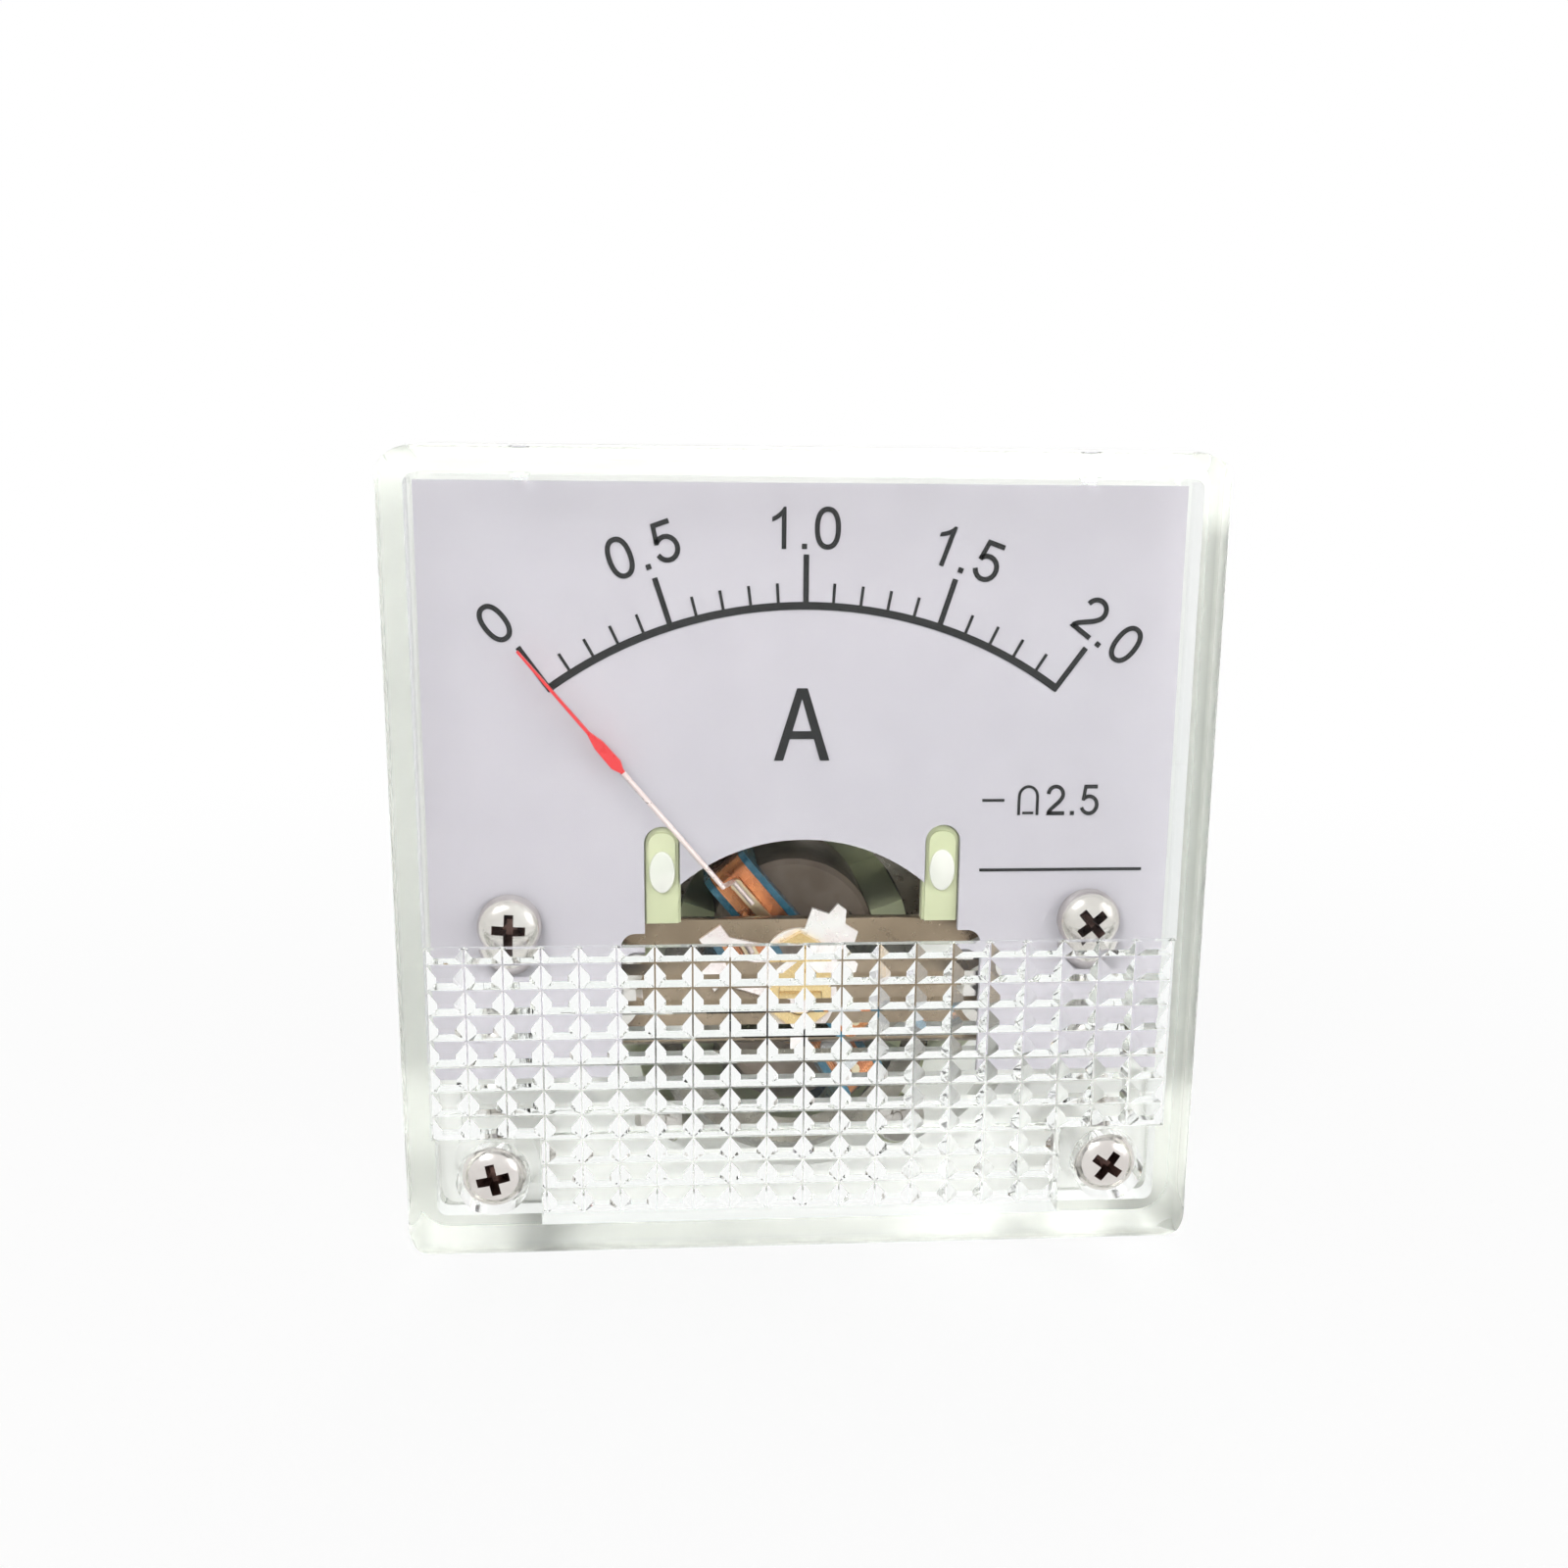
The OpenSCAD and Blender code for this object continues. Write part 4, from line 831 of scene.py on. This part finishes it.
low, high = (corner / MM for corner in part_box("terminal_studs"))
TERMINAL_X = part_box("terminal_fixing_nuts")[1].x / MM - NUT_ACROSS / 2
TERMINAL_Z = (low.z + high.z) / 2
TERMINALS = [Vector((side * TERMINAL_X * MM, 0, TERMINAL_Z * MM)) for side in (-1, 1)]
stud_foot = [(0, HEX_END - HEX_OVERLAP), (TERMINAL_R, HEX_END - HEX_OVERLAP)]
stud = as_object("stud", threaded(stud_foot, TERMINAL_R, THREAD_START, high.y - TERMINAL_TIP,
                                  TERMINAL_TIP, TERMINAL_PITCH, TERMINAL_DEPTH), brass)
head = hexagon_bar(HEX_ACROSS, low.y, HEX_END, HEX_CHAMFER)
gather("terminal_stud_pair", [stud, head], TERMINALS, "terminal_studs")

for node in ("terminal_fixing_nuts", "terminal_nuts"):
    low, high = (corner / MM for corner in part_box(node))
    nut = hexagon_bar(NUT_ACROSS, low.y, high.y, NUT_CHAMFER)
    drill(nut, brass, TERMINAL_R + BORE_ROOM, low.y, high.y)
    gather(node + "_pair", [nut], TERMINALS, node)

# %% Mounting studs
MOUNT_R, MOUNT_TIP, MOUNT_PITCH, MOUNT_DEPTH = 1.5, 0.3, 0.5, 0.26
MOUNT_HEAD_R, MOUNT_HEAD_THICK, COLLAR_R, COLLAR_END = 2.28, 0.85, 1.75, -0.05
low, high = (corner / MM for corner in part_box("mounting_studs"))
MOUNT_AT = high.x - MOUNT_HEAD_R
MOUNTS = [Vector((x * MOUNT_AT * MM, 0, z * MOUNT_AT * MM)) for x in (-1, 1) for z in (-1, 1)]
head_end = low.y + MOUNT_HEAD_THICK
bolt_head = [(0, low.y), (MOUNT_HEAD_R, low.y), (MOUNT_HEAD_R, head_end), (COLLAR_R, head_end),
             (COLLAR_R, COLLAR_END), (MOUNT_R, COLLAR_END)]
bolt = as_object("bolt", threaded(bolt_head, MOUNT_R, 0.0, high.y - MOUNT_TIP, MOUNT_TIP,
                                  MOUNT_PITCH, MOUNT_DEPTH), nickel)
gather("mounting_stud_set", [bolt], MOUNTS, "mounting_studs")

# %% [markdown]
# ## Printed numbers
# The print is a plain upright sans serif. A text object could set it, but the dial needs only a
# few figures, so they are drawn here in the shapes that it has. Each is an outline, or a centre
# line with an even stroke, on a height of 1. A flat curve fills an outline and leaves its holes
# open, and a little extrusion gives the ink its thickness. Each solid outline is filled apart
# from the others, because where two outlines of one curve overlap the fill leaves a hole.

# %% Outlines of the figures
STROKE, THIN_STROKE = 0.125, 0.09
RULE_LENGTH, RULE_THICK = 9.4, 0.17
ZERO_SQUARE = 0.88


def stroke(points, width=STROKE):
    """The outline of an even stroke along a centre line."""
    sides = ([], [])
    for i, here in enumerate(points):
        before = Vector(points[max(i - 1, 0)])
        after = Vector(points[min(i + 1, len(points) - 1)])
        along = (after - before).normalized()
        across = Vector((-along.y, along.x)) * width / 2
        sides[0].append(Vector(here) + across)
        sides[1].append(Vector(here) - across)
    return [tuple(p) for p in sides[0] + sides[1][::-1]]


# Each figure: its advance, then its solids, each an outline followed by its holes.
FIGURES = {
    "0": (0.777, [[oval(0.385, 0.5, 0.325, 0.51, ZERO_SQUARE),
                   oval(0.385, 0.5, 0.325 - STROKE, 0.51 - STROKE, ZERO_SQUARE)]]),
    "1": (0.777, [[[(0.405, 0), (0.52, 0), (0.52, 1), (0.45, 1), (0.41, 0.93), (0.34, 0.86),
                    (0.26, 0.80), (0.17, 0.755), (0.17, 0.645), (0.26, 0.68), (0.34, 0.725),
                    (0.405, 0.775)]]]),
    "2": (0.777, [[stroke(arc(0.385, 0.69, 0.255, 0.255, 178, -28)
                          + [(0.52, 0.45), (0.36, 0.31), (0.22, 0.19), (0.13, 0.06)])],
                  [[(0.07, 0), (0.70, 0), (0.70, STROKE), (0.12, STROKE)]]]),
    "5": (0.777, [[[(0.20, 1), (0.66, 1), (0.66, 1 - STROKE), (0.295, 1 - STROKE), (0.255, 0.60),
                    (0.235, 0.47), (0.12, 0.49)]],
                  [stroke([(0.155, 0.515)] + arc(0.385, 0.335, 0.27, 0.285, 128, -162))]]),
    ".": (0.388, [[[(0.13, 0), (0.26, 0), (0.26, 0.13), (0.13, 0.13)]]]),
    "-": (0.80, [[[(0.0, 0.47), (0.72, 0.47), (0.72, 0.56), (0.0, 0.56)]]]),
    "A": (0.77, [[[(0, 0), (0.31, 1), (0.455, 1), (0.765, 0), (0.635, 0), (0.545, 0.30),
                   (0.215, 0.30), (0.125, 0)], [(0.25, 0.41), (0.51, 0.41), (0.38, 0.85)]]]),
    "rule": (RULE_LENGTH, [[[(0, 0), (RULE_LENGTH, 0), (RULE_LENGTH, RULE_THICK),
                             (0, RULE_THICK)]]]),
    "coil": (0.93, [[stroke([(0.12, 0)] + arc(0.42, 0.60, 0.30, 0.34, 180, 0) + [(0.72, 0)],
                            THIN_STROKE)],
                    [[(0.24, 0.03), (0.60, 0.03), (0.60, 0.11), (0.24, 0.11)]]]),
}
print("figures", ", ".join(FIGURES))

# %% Helpers for print
DIAL_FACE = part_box("dial_plate")[0].y
INK_THICK = 0.04 * MM


def filled(solid, pen, height, spread):
    """A flat mesh of one outline with its holes, extruded to the thickness of the ink."""
    curve = bpy.data.curves.new("outline", "CURVE")
    curve.dimensions = "2D"
    curve.fill_mode = "BOTH"
    curve.extrude = INK_THICK / 2
    for outline in solid:
        line = curve.splines.new("POLY")
        line.points.add(len(outline) - 1)
        for point, (x, z) in zip(line.points, outline):
            point.co = ((pen + x) * spread * height * MM, z * height * MM, 0, 1)
        line.use_cyclic_u = True
    holder = bpy.data.objects.new("outline", curve)
    bpy.context.collection.objects.link(holder)
    bpy.context.view_layer.update()
    mesh = bpy.data.meshes.new_from_object(holder.evaluated_get(
        bpy.context.evaluated_depsgraph_get()))
    bpy.data.objects.remove(holder)
    return mesh


def print_words(name, figures, height, centre, turn=0.0, spread=1.0):
    """Set figures on the dial, their middle at centre in mm, turned clockwise by turn degrees."""
    words_bm = bmesh.new()
    pen = 0.0
    for figure in figures:
        advance, solids = FIGURES[figure]
        for solid in solids:
            words_bm.from_mesh(filled(solid, pen, height, spread))
        pen += advance
    mesh = bpy.data.meshes.new(name)
    words_bm.to_mesh(mesh)
    words_bm.free()
    low = Vector([min(v.co[i] for v in mesh.vertices) for i in range(3)])
    high = Vector([max(v.co[i] for v in mesh.vertices) for i in range(3)])
    stand = (Matrix.Translation((centre[0] * MM, DIAL_FACE - INK_THICK / 2, centre[1] * MM))
             @ Matrix.Rotation(math.radians(turn), 4, "Y") @ Matrix.Rotation(math.pi / 2, 4, "X")
             @ Matrix.Translation(-(low + high) / 2))
    mesh.transform(stand)
    mesh.materials.clear()
    mesh.materials.append(ink)
    words = bpy.data.objects.new(name, mesh)
    bpy.context.collection.objects.link(words)
    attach(words, "housing")
    print(name, "printed at", centre)


# %% Numbers of the scale
# Each number leans by a share of the angle of the mark that it stands over.
NUMBER_HEIGHT, NUMBER_SPREAD, NUMBER_LEAN = 2.25, 0.97, 0.72
NUMBERS = (("numeral_0", "0", (-16.84, 13.12), -52), ("numeral_0.5", "0.5", (-8.86, 17.07), -27.5),
           ("numeral_1.0", "1.0", (0.0, 18.27), 0), ("numeral_1.5", "1.5", (8.91, 16.92), 27.5),
           ("numeral_2.0", "2.0", (16.89, 12.78), 52))
for name, figures, centre, turn in NUMBERS:
    print_words(name, figures, NUMBER_HEIGHT, centre, turn * NUMBER_LEAN, NUMBER_SPREAD)

# %% Unit, signs and rule
UNIT_HEIGHT, SIGN_HEIGHT, SIGN_Z, CLASS_SPREAD = 4.05, 1.75, 3.2, 0.95
print_words("unit_A", "A", UNIT_HEIGHT, (-0.14, 7.55))
print_words("mark_direct_current", "-", SIGN_HEIGHT, (10.75, SIGN_Z))
print_words("mark_moving_coil", ["coil"], SIGN_HEIGHT, (12.75, SIGN_Z))
print_words("mark_class_2.5", "2.5", SIGN_HEIGHT, (15.3, SIGN_Z), 0, CLASS_SPREAD)
print_words("underline", ["rule"], 1.0, (14.78, -0.85))

# %% Measure the sizes
low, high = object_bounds()
